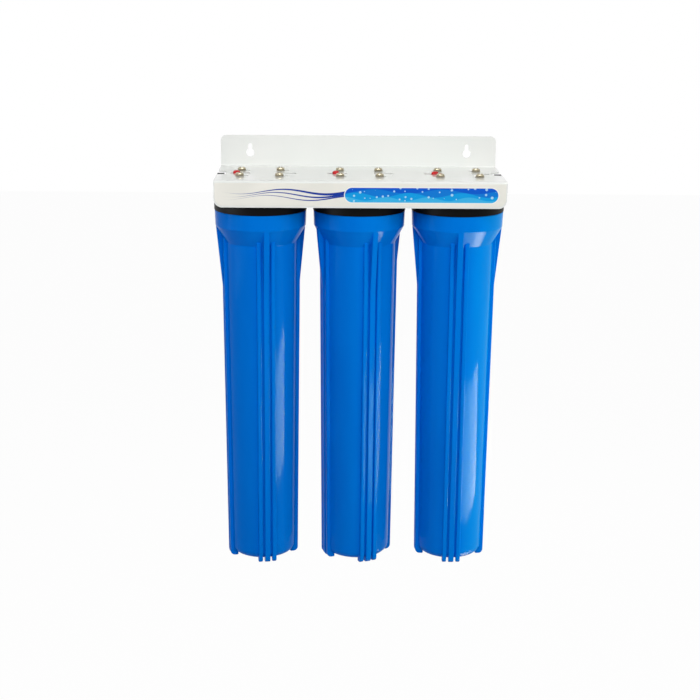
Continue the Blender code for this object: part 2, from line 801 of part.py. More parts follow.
def build_sump(number, housing):
    """The blue bowl: a plain neck for the thread, a collar, a cone and a tapered, ribbed body."""
    turn = math.radians(sump_turns_deg[number - 1] - 90)
    axis = empty(f"sump_axis_{number}", (0, 0, collar_top - cap_rim), turn, housing)
    name = f"sump_{number}"
    groove_top = neck_height - groove_below_top
    groove_low = groove_top - groove_width
    profile = [
        (0, neck_height),
        (neck_radius, neck_height),
        (neck_radius, groove_top),
        (neck_radius - groove_depth, groove_top),
        (neck_radius - groove_depth, groove_low),
        (neck_radius, groove_low),
        (neck_radius, 0),
        (collar_radius - collar_bevel, 0),
        (collar_radius, -collar_bevel),
        (collar_low_radius, -collar_height),
        (body_top_radius, body_top),
    ]
    corner = (body_bottom_radius - dome_corner_radius, dome_start)
    profile += arc(corner, dome_corner_radius, 0, -90)
    profile.append((0, body_bottom))
    sump = turned(name, profile, blue_plastic, axis)
    combine(sump, sump_ribs(name + "_ribs", axis), "UNION")
    combine(sump, sump_cavity(name + "_cavity", axis), "DIFFERENCE")
    ring_radius = neck_radius - groove_depth + seat_gap + o_ring_section / 2
    middle = (ring_radius, (groove_top + groove_low) / 2)
    section = arc(middle, o_ring_section / 2, 90, -180, o_ring_sides - 1)
    turned(f"sump_o_ring_{number}", section, rubber, axis, ring=True)


def tube(name, outer, inner, high, low, material, housing):
    profile = [(outer, high), (outer, low), (inner, low), (inner, high)]
    return turned(name, profile, material, housing, ring=True, steps=coarse_steps)


def build_sediment_cartridge(housing):
    """Melt-blown fibre on a plastic core."""
    core = cartridge_bore + core_wall
    high = cartridge_top
    low = cartridge_bottom
    tube("sediment_core", core, cartridge_bore, high, low, white_plastic, housing)
    tube("sediment_media", media_radius, core + seat_gap, high, low, white_fibre, housing)


def build_gaskets(stage, housing):
    """A flat ring above and below a cartridge. It returns the heights between them."""
    high = cartridge_top - gasket_thickness
    low = cartridge_bottom + gasket_thickness
    tube(f"{stage}_top_gasket", gasket_radius, cartridge_bore, cartridge_top, high, rubber, housing)
    tube(f"{stage}_bottom_gasket", gasket_radius, cartridge_bore, low, cartridge_bottom, rubber, housing)
    return high - seat_gap, low + seat_gap


def build_granular_cartridge(housing):
    """A canister of loose carbon between two plugs."""
    high, low = build_gaskets("granular", housing)
    plug = canister_radius - canister_wall - seat_gap
    for name, face, way in (("granular_top_cap", high, -1), ("granular_bottom_cap", low, 1)):
        plate = face + way * end_plate_thickness
        end = plate + way * end_plug_length
        profile = [
            (canister_radius, face),
            (canister_radius, plate),
            (plug, plate),
            (plug, end),
            (cartridge_bore, end),
            (cartridge_bore, face),
        ]
        turned(name, profile[::-way], white_plastic, housing, ring=True, steps=coarse_steps)
    plate = end_plate_thickness + seat_gap
    inner = canister_radius - canister_wall
    tube("granular_canister", canister_radius, inner, high - plate, low + plate, white_plastic, housing)
    bed_end = end_plate_thickness + end_plug_length + seat_gap
    bed = [(0, high - bed_end), (plug, high - bed_end), (plug, low + bed_end), (0, low + bed_end)]
    turned("granular_carbon_bed", bed, carbon, housing, steps=coarse_steps)


def build_block_cartridge(housing):
    """A pressed carbon block with a cup glued over each end."""
    high, low = build_gaskets("block", housing)
    skirt_inner = block_radius + seat_gap
    skirt_outer = skirt_inner + end_skirt_wall
    for name, face, way in (("block_top_cap", high, -1), ("block_bottom_cap", low, 1)):
        plate = face + way * end_plate_thickness
        end = plate + way * end_skirt_length
        profile = [
            (skirt_outer, face),
            (skirt_outer, end),
            (skirt_inner, end),
            (skirt_inner, plate),
            (cartridge_bore, plate),
            (cartridge_bore, face),
        ]
        turned(name, profile[::-way], white_plastic, housing, ring=True, steps=coarse_steps)
    plate = end_plate_thickness + seat_gap
    tube("carbon_block", block_radius, cartridge_bore, high - plate, low + plate, carbon, housing)


def build_nipple(number, left, right):
    """A threaded nipple with a hexagon, between one cap's outlet and the next cap's inlet."""
    height = cap_rim + port_height
    depth = -housing_to_wall
    name = f"port_nipple_{number}"
    start = left + port_face - nipple_engagement
    end = right - port_face + nipple_engagement
    outer = port_bore_radius - seat_gap
    nipple = rod(name, outer, (start, depth, height), (end, depth, height), black_plastic, None, bore_steps)
    hex_start = (left + skirt_radius + seat_gap, depth, height)
    hex_end = (right - skirt_radius - seat_gap, depth, height)
    hex_radius = nipple_hex_flats / math.sqrt(3)
    combine(nipple, rod(name + "_hexagon", hex_radius, hex_start, hex_end, sides=6), "UNION")
    low = (start - cut_overrun, depth, height)
    high = (end + cut_overrun, depth, height)
    combine(nipple, rod(name + "_bore_cut", outer - nipple_wall, low, high), "DIFFERENCE")


def main():
    build_bracket()
    build_label()
    places = housing_places()
    cartridges = (build_sediment_cartridge, build_granular_cartridge, build_block_cartridge)
    for number, (x, build_cartridge) in enumerate(zip(places, cartridges), 1):
        housing = empty(f"housing_{number}", (x, -housing_to_wall, cap_rim))
        build_cap(number, housing)
        build_screws(number, housing)
        build_relief(number, housing)
        build_sump(number, housing)
        build_cartridge(housing)
    for number, (left, right) in enumerate(zip(places, places[1:]), 1):
        build_nipple(number, left, right)


main()
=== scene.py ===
import json
import math

import bpy
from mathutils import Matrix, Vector

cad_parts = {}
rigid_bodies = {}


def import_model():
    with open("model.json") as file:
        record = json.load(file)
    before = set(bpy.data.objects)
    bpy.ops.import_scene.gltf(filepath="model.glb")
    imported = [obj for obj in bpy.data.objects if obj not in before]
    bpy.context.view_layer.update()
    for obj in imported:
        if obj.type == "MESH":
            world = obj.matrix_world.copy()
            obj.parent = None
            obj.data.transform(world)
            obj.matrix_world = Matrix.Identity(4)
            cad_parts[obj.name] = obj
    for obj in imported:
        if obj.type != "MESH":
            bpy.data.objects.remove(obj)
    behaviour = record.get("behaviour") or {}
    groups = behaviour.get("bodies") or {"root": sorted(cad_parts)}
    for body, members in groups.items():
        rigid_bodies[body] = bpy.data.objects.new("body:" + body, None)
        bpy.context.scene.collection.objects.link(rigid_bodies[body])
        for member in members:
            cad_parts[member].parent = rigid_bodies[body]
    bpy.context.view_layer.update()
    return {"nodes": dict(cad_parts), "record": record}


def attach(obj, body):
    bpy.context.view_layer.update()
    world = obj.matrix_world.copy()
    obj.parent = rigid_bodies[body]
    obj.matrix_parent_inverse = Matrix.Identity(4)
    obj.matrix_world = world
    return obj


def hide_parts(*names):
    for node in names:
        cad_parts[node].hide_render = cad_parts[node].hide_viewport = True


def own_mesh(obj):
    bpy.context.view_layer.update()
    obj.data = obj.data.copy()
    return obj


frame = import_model()

mm = 0.001
root = "bracket_and_caps"
housingX = (-143 * mm, 0.0, 143 * mm)
housingY = -80 * mm
capRimZ = -82 * mm
collarTopZ = -82.3 * mm


def linearColour(hexColour):
    channels = [int(hexColour[start:start + 2], 16) / 255 for start in (1, 3, 5)]
    return [c / 12.92 if c <= 0.04045 else ((c + 0.055) / 1.055) ** 2.4 for c in channels] + [1.0]


def addNode(tree, kind, settings=(), links=()):
    # settings and links name a socket by its name or number; other settings are the node's own
    node = tree.nodes.new(kind)
    for key, value in dict(settings).items():
        if isinstance(key, int) or key in node.inputs:
            node.inputs[key].default_value = value
        else:
            setattr(node, key, value)
    for key, source in dict(links).items():
        tree.links.new(source, node.inputs[key])
    return node


def startMaterial(name, hexColour, roughness, sockets=()):
    material = bpy.data.materials.new(name)
    material.use_nodes = True
    tree = material.node_tree
    shader = tree.nodes["Principled BSDF"]
    shader.inputs["Base Color"].default_value = linearColour(hexColour)
    shader.inputs["Roughness"].default_value = roughness
    for socket, value in dict(sockets).items():
        shader.inputs[socket].default_value = value
    place = addNode(tree, "ShaderNodeTexCoord").outputs["Object"]
    return material, tree, shader, place


def addGrain(tree, place, cell, detail=2.0, stretch=(1, 1, 1)):
    # noise whose cells are about this big, in metres
    spot = addNode(tree, "ShaderNodeMapping", {"Scale": stretch}, {"Vector": place}).outputs[0]
    return addNode(tree, "ShaderNodeTexNoise", {"Scale": 1 / cell, "Detail": detail},
                   {"Vector": spot}).outputs[0]


def addRange(tree, value, low, high):
    return addNode(tree, "ShaderNodeMapRange",
                   {"From Min": 0.3, "From Max": 0.7, "To Min": low, "To Max": high},
                   {"Value": value}).outputs[0]


def addBlend(tree, factor, first, second):
    # a colour given as a hex string is set, and one given as a socket is linked
    node = addNode(tree, "ShaderNodeMix", {"data_type": "RGBA"}, {0: factor})
    for number, colour in ((6, first), (7, second)):
        if isinstance(colour, str):
            node.inputs[number].default_value = linearColour(colour)
        else:
            tree.links.new(colour, node.inputs[number])
    return node.outputs[2]


def addBump(tree, shader, height, depth, strength=1.0):
    bump = addNode(tree, "ShaderNodeBump", {"Strength": strength, "Distance": depth}, {"Height": height})
    tree.links.new(bump.outputs[0], shader.inputs["Normal"])


def addMath(tree, operation, first, second=0.0):
    node = addNode(tree, "ShaderNodeMath", {"operation": operation})
    for number, value in ((0, first), (1, second)):
        if isinstance(value, (int, float)):
            node.inputs[number].default_value = value
        else:
            tree.links.new(value, node.inputs[number])
    return node.outputs[0]


def deselectAll():
    for thing in bpy.context.selected_objects:
        thing.select_set(False)


def pickOnly(piece):
    deselectAll()
    piece.select_set(True)
    bpy.context.view_layer.objects.active = piece


def applyModifier(piece, kind, settings):
    modifier = piece.modifiers.new(kind.title(), kind)
    for key, value in settings.items():
        setattr(modifier, key, value)
    pickOnly(piece)
    bpy.ops.object.modifier_apply(modifier=modifier.name)


def softCorners(corners, closed=False, steps=5):
    # corners are (across, up, radius), and each is rounded to its radius
    outline = []
    for index, (across, up, radius) in enumerate(corners):
        here = Vector((across, up))
        if radius == 0 or (not closed and index in (0, len(corners) - 1)):
            outline.append(here)
            continue
        toLast = (Vector(corners[index - 1][:2]) - here).normalized()
        toNext = (Vector(corners[(index + 1) % len(corners)][:2]) - here).normalized()
        half = toLast.angle(toNext) / 2
        centre = here + (toLast + toNext).normalized() * radius / math.sin(half)
        start = here + toLast * radius / math.tan(half) - centre
        end = here + toNext * radius / math.tan(half) - centre
        sweep = math.atan2(start.x * end.y - start.y * end.x, start.dot(end))
        for step in range(steps + 1):
            c, s = math.cos(sweep * step / steps), math.sin(sweep * step / steps)
            outline.append(centre + Vector((start.x * c - start.y * s, start.x * s + start.y * c)))
    return outline


def drawChain(name, points):
    # one point, extruded from place to place; it is left in edit mode, all selected
    deselectAll()
    bpy.ops.mesh.primitive_plane_add(size=mm, location=(0, 0, 0))
    piece = bpy.context.object
    piece.name = name
    bpy.ops.object.mode_set(mode="EDIT")
    bpy.ops.mesh.select_mode(type="VERT")
    bpy.ops.mesh.merge(type="CENTER")
    bpy.ops.transform.translate(value=points[0])
    for last, here in zip(points, points[1:]):
        bpy.ops.mesh.extrude_region_move(TRANSFORM_OT_translate={"value": here - last})
    bpy.ops.mesh.select_all(action="SELECT")
    return piece


def closeSeams():
    bpy.ops.mesh.select_all(action="SELECT")
    bpy.ops.mesh.remove_doubles(threshold=0.004 * mm)
    bpy.ops.mesh.normals_make_consistent(inside=False)
    bpy.ops.object.mode_set(mode="OBJECT")


def turnPiece(name, profile, steps=96, axis="Z", centre=(0, 0, 0)):
    # profile is (radius, along the axis) in metres, spun all the way round
    centre = Vector(centre)
    if axis == "Z":
        points = [centre + Vector((radius, 0, along)) for radius, along in profile]
        way = (0, 0, 1)
    else:
        points = [centre + Vector((along, 0, radius)) for radius, along in profile]
        way = (1, 0, 0)
    piece = drawChain(name, points)
    bpy.ops.mesh.spin(steps=steps, angle=math.tau, center=centre, axis=way)
    closeSeams()
    return piece


def slabPiece(name, outline, thickness):
    # a flat outline, filled and pulled out to a thickness
    piece = drawChain(name, [Vector(point) for point in outline])
    bpy.ops.mesh.edge_face_add()
    bpy.ops.mesh.extrude_region_move(TRANSFORM_OT_translate={"value": thickness})
    closeSeams()
    return piece


def rodPiece(name, radius, low, high, steps=32, axis="Z", centre=(0, 0, 0), edge=0.0):
    corners = [(0, low, 0), (radius, low, edge), (radius, high, edge), (0, high, 0)]
    return turnPiece(name, softCorners(corners, steps=3), steps, axis, centre)


def joinPieces(piece, others):
    pickOnly(piece)
    for other in others:
        other.select_set(True)
    bpy.ops.object.join()
    return piece


def combinePieces(piece, other, operation):
    applyModifier(piece, "BOOLEAN", {"operation": operation, "solver": "EXACT", "object": other})
    bpy.data.objects.remove(other, do_unlink=True)


def copyPiece(piece, name, place=(0, 0, 0), turn=(0, 0, 0)):
    pickOnly(piece)
    bpy.ops.object.duplicate()
    copy = bpy.context.object
    copy.name = name
    copy.location = place
    copy.rotation_euler = turn
    bpy.ops.object.transform_apply(location=True, rotation=True, scale=True)
    return copy


def finishPiece(piece, material, body, nodes=(), smoothAngle=32, weighted=False):
    pickOnly(piece)
    bpy.ops.object.transform_apply(location=True, rotation=True, scale=True)
    piece.data.materials.clear()
    piece.data.materials.append(material)
    bpy.ops.object.shade_smooth_by_angle(angle=math.radians(smoothAngle))
    if weighted:
        applyModifier(piece, "WEIGHTED_NORMAL", {"keep_sharp": True, "weight": 80})
    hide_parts(*nodes)
    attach(piece, body)
    return piece


def threadRidge(name, root, crest, foot, tip, pitch, turns, steps=48):
    # a small trapezium on the root radius, wound up Z from the origin by a Screw modifier
    corners = [(root, -foot / 2), (crest, -tip / 2), (crest, tip / 2), (root, foot / 2), (root, -foot / 2)]
    piece = drawChain(name, [Vector((radius, 0, up)) for radius, up in corners])
    bpy.ops.mesh.remove_doubles(threshold=0.004 * mm)
    bpy.ops.object.mode_set(mode="OBJECT")
    applyModifier(piece, "SCREW",
                  {"axis": "Z", "angle": math.tau, "screw_offset": pitch, "iterations": turns,
                                   "steps": steps, "render_steps": steps, "use_merge_vertices": False})
    bpy.ops.object.mode_set(mode="EDIT")
    bpy.ops.mesh.select_all(action="SELECT")
    bpy.ops.mesh.fill_holes(sides=6)
    closeSeams()
    return piece


def makePowderCoat():
    # polyester powder coat, sprayed and baked: a pale glossy skin with a faint orange peel
    powderCoat = {"colour": "#EDEEEB", "cooler": "#E9ECE9", "roughness": (0.30, 0.36), "peelCell": 2.2 * mm,
                  "peelDepth": 0.004 * mm}
    material, tree, shader, place = startMaterial("powderCoatedSteel", powderCoat["colour"], 0.3,
        {"IOR": 1.5, "Coat Weight": 1.0, "Coat Roughness": 0.025, "Coat IOR": 1.5})
    cloud = addGrain(tree, place, 90 * mm)
    tree.links.new(addBlend(tree, addRange(tree, cloud, 0, 1), powderCoat["colour"], powderCoat["cooler"]),
                   shader.inputs["Base Color"])
    tree.links.new(addRange(tree, cloud, *powderCoat["roughness"]), shader.inputs["Roughness"])
    addBump(tree, shader, addGrain(tree, place, powderCoat["peelCell"], 1.0), powderCoat["peelDepth"], 0.5)
    return material


def makeBluePlastic():
    # injection moulded polypropylene, pigmented blue: a polished mould's gloss over faint flow marks
    blue = {"colour": "#0073DC", "deeper": "#006DD6", "roughness": (0.06, 0.10), "flowCell": 40 * mm,
            "sinkDepth": 0.05 * mm}
    material, tree, shader, place = startMaterial("bluePolypropylene", blue["colour"], 0.08,
        {"IOR": 1.49, "Specular IOR Level": 0.03, "Specular Tint": (0.3, 0.88, 1.0, 1.0)})
    # drawn out up the bowl, as it was filled
    flow = addGrain(tree, place, blue["flowCell"], 3.0, (1, 1, 0.22))
    tree.links.new(addBlend(tree, addRange(tree, flow, 0, 1), blue["colour"], blue["deeper"]),
                   shader.inputs["Base Color"])
    tree.links.new(addRange(tree, flow, *blue["roughness"]), shader.inputs["Roughness"])
    addBump(tree, shader, flow, blue["sinkDepth"], 0.6)
    return material


def makeBlackPlastic():
    # injection moulded polypropylene, carbon black: a satin skin from a spark-eroded mould
    black = {"colour": "#09090A", "paler": "#0D0D0E", "roughness": (0.36, 0.44), "grainCell": 0.9 * mm,
             "grainDepth": 0.03 * mm}
    material, tree, shader, place = startMaterial("blackPolypropylene", black["colour"], 0.4,
        {"IOR": 1.49, "Specular IOR Level": 0.07})
    # the real grain is near 0.1 mm and is drawn coarser, so that it shows
    grain = addGrain(tree, place, black["grainCell"])
    cloud = addGrain(tree, place, 30 * mm)
    tree.links.new(addBlend(tree, addRange(tree, cloud, 0, 1), black["colour"], black["paler"]),
                   shader.inputs["Base Color"])
    tree.links.new(addRange(tree, cloud, *black["roughness"]), shader.inputs["Roughness"])
    addBump(tree, shader, grain, black["grainDepth"], 0.4)
    return material


def makeRedPlastic():
    # injection moulded acetal, pigmented red: a small glossy button with faint swirls
    red = {"colour": "#D20A12", "deeper": "#B6060E", "roughness": (0.2, 0.3)}
    material, tree, shader, place = startMaterial("redAcetal", red["colour"], 0.25, {"IOR": 1.48})
    swirl = addGrain(tree, place, 4 * mm, 3.0)
    tree.links.new(addBlend(tree, addRange(tree, swirl, 0, 1), red["colour"], red["deeper"]),
                   shader.inputs["Base Color"])
    tree.links.new(addRange(tree, swirl, *red["roughness"]), shader.inputs["Roughness"])
    addBump(tree, shader, swirl, 0.03 * mm, 0.4)
    return material


def makeRubber():
    # moulded nitrile rubber: matt black with a dusty bloom
    rubber = {"colour": "#1A1A1B", "bloom": "#252526", "roughness": (0.55, 0.72)}
    material, tree, shader, place = startMaterial("nitrileRubber", rubber["colour"], 0.6, {"IOR": 1.52})
    bloom = addGrain(tree, place, 3 * mm, 3.0)
    tree.links.new(addBlend(tree, addRange(tree, bloom, 0, 1), rubber["colour"], rubber["bloom"]),
                   shader.inputs["Base Color"])
    tree.links.new(addRange(tree, bloom, *rubber["roughness"]), shader.inputs["Roughness"])
    addBump(tree, shader, addGrain(tree, place, 0.5 * mm), 0.03 * mm, 0.5)
    return material


def makeZincPlate():
    # zinc plated steel with a clear passivation: bright metal with a slightly clouded film
    zinc = {"colour": "#BEB6A0", "film": "#A69D84", "roughness": (0.14, 0.24)}
    material, tree, shader, place = startMaterial("zincPlatedSteel", zinc["colour"], 0.25, {"Metallic": 1.0})
    film = addGrain(tree, place, 2.5 * mm, 3.0)
    tree.links.new(addBlend(tree, addRange(tree, film, 0, 1), zinc["colour"], zinc["film"]),
                   shader.inputs["Base Color"])
    tree.links.new(addRange(tree, film, *zinc["roughness"]), shader.inputs["Roughness"])
    addBump(tree, shader, addGrain(tree, place, 0.35 * mm), 0.01 * mm, 0.4)
    return material


def makeSpringWire():
    # hard drawn stainless wire: bright, with fine lines along it
    wire = {"colour": "#B9B9BA", "dull": "#8E8E90", "roughness": (0.22, 0.36)}
    material, tree, shader, place = startMaterial("springWire", wire["colour"], 0.3, {"Metallic": 1.0})
    lines = addGrain(tree, place, 0.6 * mm, 2.0, (1, 1, 4))
    tree.links.new(addBlend(tree, addRange(tree, lines, 0, 1), wire["colour"], wire["dull"]),
                   shader.inputs["Base Color"])
    tree.links.new(addRange(tree, lines, *wire["roughness"]), shader.inputs["Roughness"])
    addBump(tree, shader, lines, 0.01 * mm, 0.3)
    return material


def makeFibre():
    # melt-blown polypropylene fibre, wound and felted: soft white with crossing strands, with painted shade
    # darkening the hollows between them
    fibre = {"colour": "#EFEEEA", "hollow": "#DAD8D2", "roughness": (0.85, 0.95), "strand": 1.4 * mm}
    material, tree, shader, place = startMaterial("meltBlownFibre", fibre["colour"], 0.9,
                                                  {"IOR": 1.49, "Sheen Weight": 0.2})
    strands = addGrain(tree, place, fibre["strand"], 4.0, (1, 1, 5))
    # painted shade: the darker hollow colour falls where the strands noise, which is also the bump's height,
    # is low
    tree.links.new(addBlend(tree, addRange(tree, strands, 0, 1), fibre["hollow"], fibre["colour"]),
                   shader.inputs["Base Color"])
    tree.links.new(addRange(tree, strands, *fibre["roughness"]), shader.inputs["Roughness"])
    addBump(tree, shader, strands, 0.4 * mm, 0.7)
    return material


def makeEndPlastic():
    # injection moulded polypropylene, natural white: a little waxy, with faint flow marks
    white = {"colour": "#E9E8E3", "waxy": "#DEDDD6", "roughness": (0.36, 0.46)}
    material, tree, shader, place = startMaterial("whitePolypropylene", white["colour"], 0.4, {"IOR": 1.49})
    flow = addGrain(tree, place, 14 * mm, 3.0)
    tree.links.new(addBlend(tree, addRange(tree, flow, 0, 1), white["colour"], white["waxy"]),
                   shader.inputs["Base Color"])
    tree.links.new(addRange(tree, flow, *white["roughness"]), shader.inputs["Roughness"])
    addBump(tree, shader, flow, 0.05 * mm, 0.4)
    return material


def makeCarbon():
    # activated carbon, pressed or loose: matt black grit of about a millimetre
    carbon = {"colour": "#1C1B1B", "pit": "#0B0B0B", "grit": 1.1 * mm}
    material, tree, shader, place = startMaterial("activatedCarbon", carbon["colour"], 0.88, {"IOR": 1.6})
    grit = addNode(tree, "ShaderNodeTexVoronoi", {"Scale": 1 / carbon["grit"]},
                   {"Vector": place}).outputs["Distance"]
    tree.links.new(addBlend(tree, grit, carbon["colour"], carbon["pit"]), shader.inputs["Base Color"])
    tree.links.new(addRange(tree, grit, 0.8, 0.95), shader.inputs["Roughness"])
    addBump(tree, shader, grit, 0.5 * mm, 0.7)
    return material


labelPrint = {
    "film": "#F2F0E8", "filmLow": "#EAE9E1", "keyline": "#F8F6F0",
    "deep": "#0058CC", "middle": "#0678D4", "light": "#0A9CE2", "pale": "#3DB2E8", "bubble": "#BFE8FB",
    "ink": "#0A3498",
    "bandFromX": -22.0, "bandToX": 192.5, "bandMiddleZ": -49.6, "bandHalfHeight": 10.3, "keylineWidth": 1.2,
    # each wave: middle height, height of the swing, length, phase
    "waves": ((-44.3, 3.0, 96.0, 0.4), (-49.3, 3.2, 74.0, 2.1), (-54.7, 2.6, 58.0, 4.0)),
    "tailFromX": -194.0, "tails": ((-45.4, 3.4, 120.0, 0.9, 1.9), (-49.8, 3.4, 120.0, 1.5, 1.4),
                                   (-54.0, 3.4, 120.0, 2.1, 1.0)),
}


def makeLabelFilm():
    # printed polyester film: a satin cream ground with a band of layered waves and bubbles, all in
    # millimetres of X and Z
    spec = labelPrint
    material, tree, shader, place = startMaterial("printedFilm", spec["film"], 0.34,
                                                  {"IOR": 1.5, "Specular IOR Level": 0.25})
    scaled = addNode(tree, "ShaderNodeMapping", {"Scale": (1000, 1000, 1000)}, {"Vector": place}).outputs[0]
    parts = addNode(tree, "ShaderNodeSeparateXYZ", {}, {0: scaled})
    x, z = parts.outputs[0], parts.outputs[2]

    def under(value, limit, soft=0.12):
        # 1 where the value is under the limit, with a soft edge
        node = addNode(tree, "ShaderNodeMapRange", {"From Min": soft, "From Max": -soft},
                       {"Value": addMath(tree, "SUBTRACT", value, limit)})
        return node.outputs[0]

    def waveHeight(wave):
        middle, swing, length, phase = wave[:4]
        turn = addMath(tree, "ADD", addMath(tree, "MULTIPLY", x, math.tau / length), phase)
        return addMath(tree, "ADD", addMath(tree, "MULTIPLY", addMath(tree, "SINE", turn), swing), middle)

    # distance from the band's middle line, whose ends are round
    centreX = (spec["bandFromX"] + spec["bandToX"]) / 2
    reach = (spec["bandToX"] - spec["bandFromX"]) / 2 - spec["bandHalfHeight"]
    past = addMath(tree, "MAXIMUM",
                   addMath(tree, "SUBTRACT", addMath(tree, "ABSOLUTE",
                                                     addMath(tree, "SUBTRACT", x, centreX)), reach), 0)
    off = addMath(tree, "SUBTRACT", z, spec["bandMiddleZ"])
    distance = addMath(tree, "SQRT",
                       addMath(tree, "ADD", addMath(tree, "MULTIPLY", past, past),
                               addMath(tree, "MULTIPLY", off, off)))

    ground = addBlend(tree, addRange(tree, addGrain(tree, place, 60 * mm), 0, 1), spec["film"],
                      spec["filmLow"])
    for middle, swing, length, phase, width in spec["tails"]:
        gap = addMath(tree, "ABSOLUTE",
                      addMath(tree, "SUBTRACT", z, waveHeight((middle, swing, length, phase))))
        # the line grows from nothing at its left end to its full width by the band
        grown = addNode(tree, "ShaderNodeMapRange",
                        {"From Min": spec["tailFromX"], "From Max": spec["bandFromX"], "To Min": -0.1,
                         "To Max": width},
                        {"Value": x}).outputs[0]
        line = addMath(tree, "MULTIPLY", under(gap, grown),
                       under(x, spec["bandFromX"] + spec["bandHalfHeight"]))
        ground = addBlend(tree, line, ground, spec["ink"])
    band = spec["deep"]
    for wave, colour in zip(spec["waves"], ("middle", "light", "pale")):
        band = addBlend(tree, under(z, waveHeight(wave)), band, spec[colour])
    flat = addNode(tree, "ShaderNodeCombineXYZ", {}, {0: x, 1: z}).outputs[0]
    cells = addNode(tree, "ShaderNodeTexVoronoi", {"Scale": 1 / 8.0, "voronoi_dimensions": "2D"},
                    {"Vector": flat})
    tint = addNode(tree, "ShaderNodeSeparateColor", {}, {0: cells.outputs["Color"]}).outputs[0]
    # the size of a bubble is chance, and half of the cells have none
    size = addNode(tree, "ShaderNodeMapRange",
                   {"From Min": 0.5, "From Max": 1.0, "To Min": 0.0, "To Max": 0.26},
                   {"Value": tint}).outputs[0]
    bubbles = addMath(tree, "MULTIPLY", under(cells.outputs["Distance"], size, 0.015), 0.75)
    band = addBlend(tree, bubbles, band, spec["bubble"])
    face = addBlend(tree, under(distance, spec["bandHalfHeight"] + spec["keylineWidth"]), ground,
                    spec["keyline"])
    face = addBlend(tree, under(distance, spec["bandHalfHeight"]), face, band)
    tree.links.new(face, shader.inputs["Base Color"])
    tree.links.new(addRange(tree, addGrain(tree, place, 25 * mm), 0.3, 0.38), shader.inputs["Roughness"])
    addBump(tree, shader, addGrain(tree, place, 5 * mm, 1.0), 0.01 * mm, 0.4)
    return material


powderCoat = makePowderCoat()
bluePlastic = makeBluePlastic()
blackPlastic = makeBlackPlastic()
redPlastic = makeRedPlastic()
rubber = makeRubber()
zincPlate = makeZincPlate()
springWire = makeSpringWire()
fibre = makeFibre()
endPlastic = makeEndPlastic()
carbon = makeCarbon()
labelFilm = makeLabelFilm()
slotMaterials = {"white_powder_coat": powderCoat, "cream_label_film": labelFilm,
                 "black_polypropylene": blackPlastic,
                 "blue_polypropylene": bluePlastic, "red_button_plastic": redPlastic, "black_rubber": rubber,
                 "zinc_plated_steel": zincPlate, "spring_steel": springWire, "white_melt_blown_fibre": fibre,
                 "white_end_plastic": endPlastic, "pressed_carbon": carbon}
for entry in frame["record"]["subparts"]:
    node = frame["nodes"][entry["node"]]
    node.data.materials.clear()
    node.data.materials.append(slotMaterials[entry["material_slot"]])
print("materials:", len(slotMaterials))


# bracket: one sheet, bent twice, with its keyholes, slots, notches and rounded corners

bracketSpec = {"halfWidth": 205, "top": 15, "shelfTop": -30.5, "flangeBottom": -68, "depth": 158,
               "sheet": 2, "bend": 2, "frontBend": 1,
               "plateCorner": 8, "flangeCorner": 12, "keyholeX": 161.5, "keyholeDrop": 11, "keyholeSlot": 3,
               "keyholeHead": 6.15, "notchDepth": 13, "notchWidth": 31, "notchShift": 3, "notchCorner": 6,
               "notchRear": 10, "notchFront": 4, "groupPitch": 139.5, "groupShift": 1.5, "screwX": 28.2,
               "screwY": 28.5,
               "screwSlot": (16, 6.5), "reliefX": 33.5, "reliefSlot": (28.6, 12.1), "edge": 0.35}


def cornerCut(name, x, z, radius, right, up, thickness):
    # what a rounding takes off a square corner
    far = radius + 4
    outline = [(radius, 0), (far, 0), (far, far), (0, far)]
    for step in range(13):
        angle = math.pi / 2 * (1 - step / 12)
        outline.append((radius * math.cos(angle), radius * math.sin(angle)))
    return slabPiece(name, [((x + right * a) * mm, thickness[0] * mm, (z + up * b) * mm) for a,
                            b in outline[:-1]],
                     (0, (thickness[1] - thickness[0]) * mm, 0))


def keyholeCut(name, x, spec):
    slot, head = spec["keyholeSlot"], spec["keyholeHead"]
    meet = math.asin(slot / head)
    outline = [(slot * math.cos(a), slot * math.sin(a)) for a in [math.pi * step / 12 for step in range(13)]]
    for step in range(33):
        angle = math.pi / 2 + meet + (math.tau - 2 * meet) * step / 32
        outline.append((head * math.cos(angle), head * math.sin(angle) - spec["keyholeDrop"]))
    return slabPiece(name, [((x + a) * mm, -8 * mm, b * mm) for a, b in outline], (0, 16 * mm, 0))


def slotCut(name, x, y, length, width, low, high):
    reach = (length - width) / 2
    outline = []
    for side in (1, -1):
        for step in range(13):
            angle = math.pi * step / 12 - math.pi / 2
            outline.append((x + side * (reach + width / 2 * math.cos(angle)),
                            y + side * width / 2 * math.sin(angle)))
    return slabPiece(name, [(a * mm, b * mm, low * mm) for a, b in outline], (0, 0, (high - low) * mm))


def notchCut(name, side, spec, low, high):
    # the mouth is rounded outwards, more towards the wall, and the two inner corners inwards
    rear, front = spec["notchShift"] + spec["notchWidth"] / 2, spec["notchShift"] - spec["notchWidth"] / 2
    corner, past = spec["notchCorner"], 4
    outline = [(past, rear + spec["notchRear"])]
    for step in range(13):
        angle = math.pi / 2 * step / 12
        outline.append((spec["notchRear"] * (math.cos(angle) - 1),
                        rear + spec["notchRear"] * (1 - math.sin(angle))))
    for start, y in ((math.pi / 2, rear - corner), (math.pi, front + corner)):
        for step in range(13):
            angle = start + math.pi / 2 * step / 12
            outline.append((corner - spec["notchDepth"] + corner * math.cos(angle),
                            y + corner * math.sin(angle)))
    for step in range(13):
        angle = math.pi / 2 * (1 - step / 12)
        outline.append((spec["notchFront"] * (math.cos(angle) - 1),
                        front + spec["notchFront"] * (math.sin(angle) - 1)))
    outline.append((past, front - spec["notchFront"]))
    edge, middle = side * spec["halfWidth"], housingY / mm
    return slabPiece(name, [((edge + side * x) * mm, (middle + y) * mm, low * mm) for x, y in outline],
                     (0, 0, (high - low) * mm))


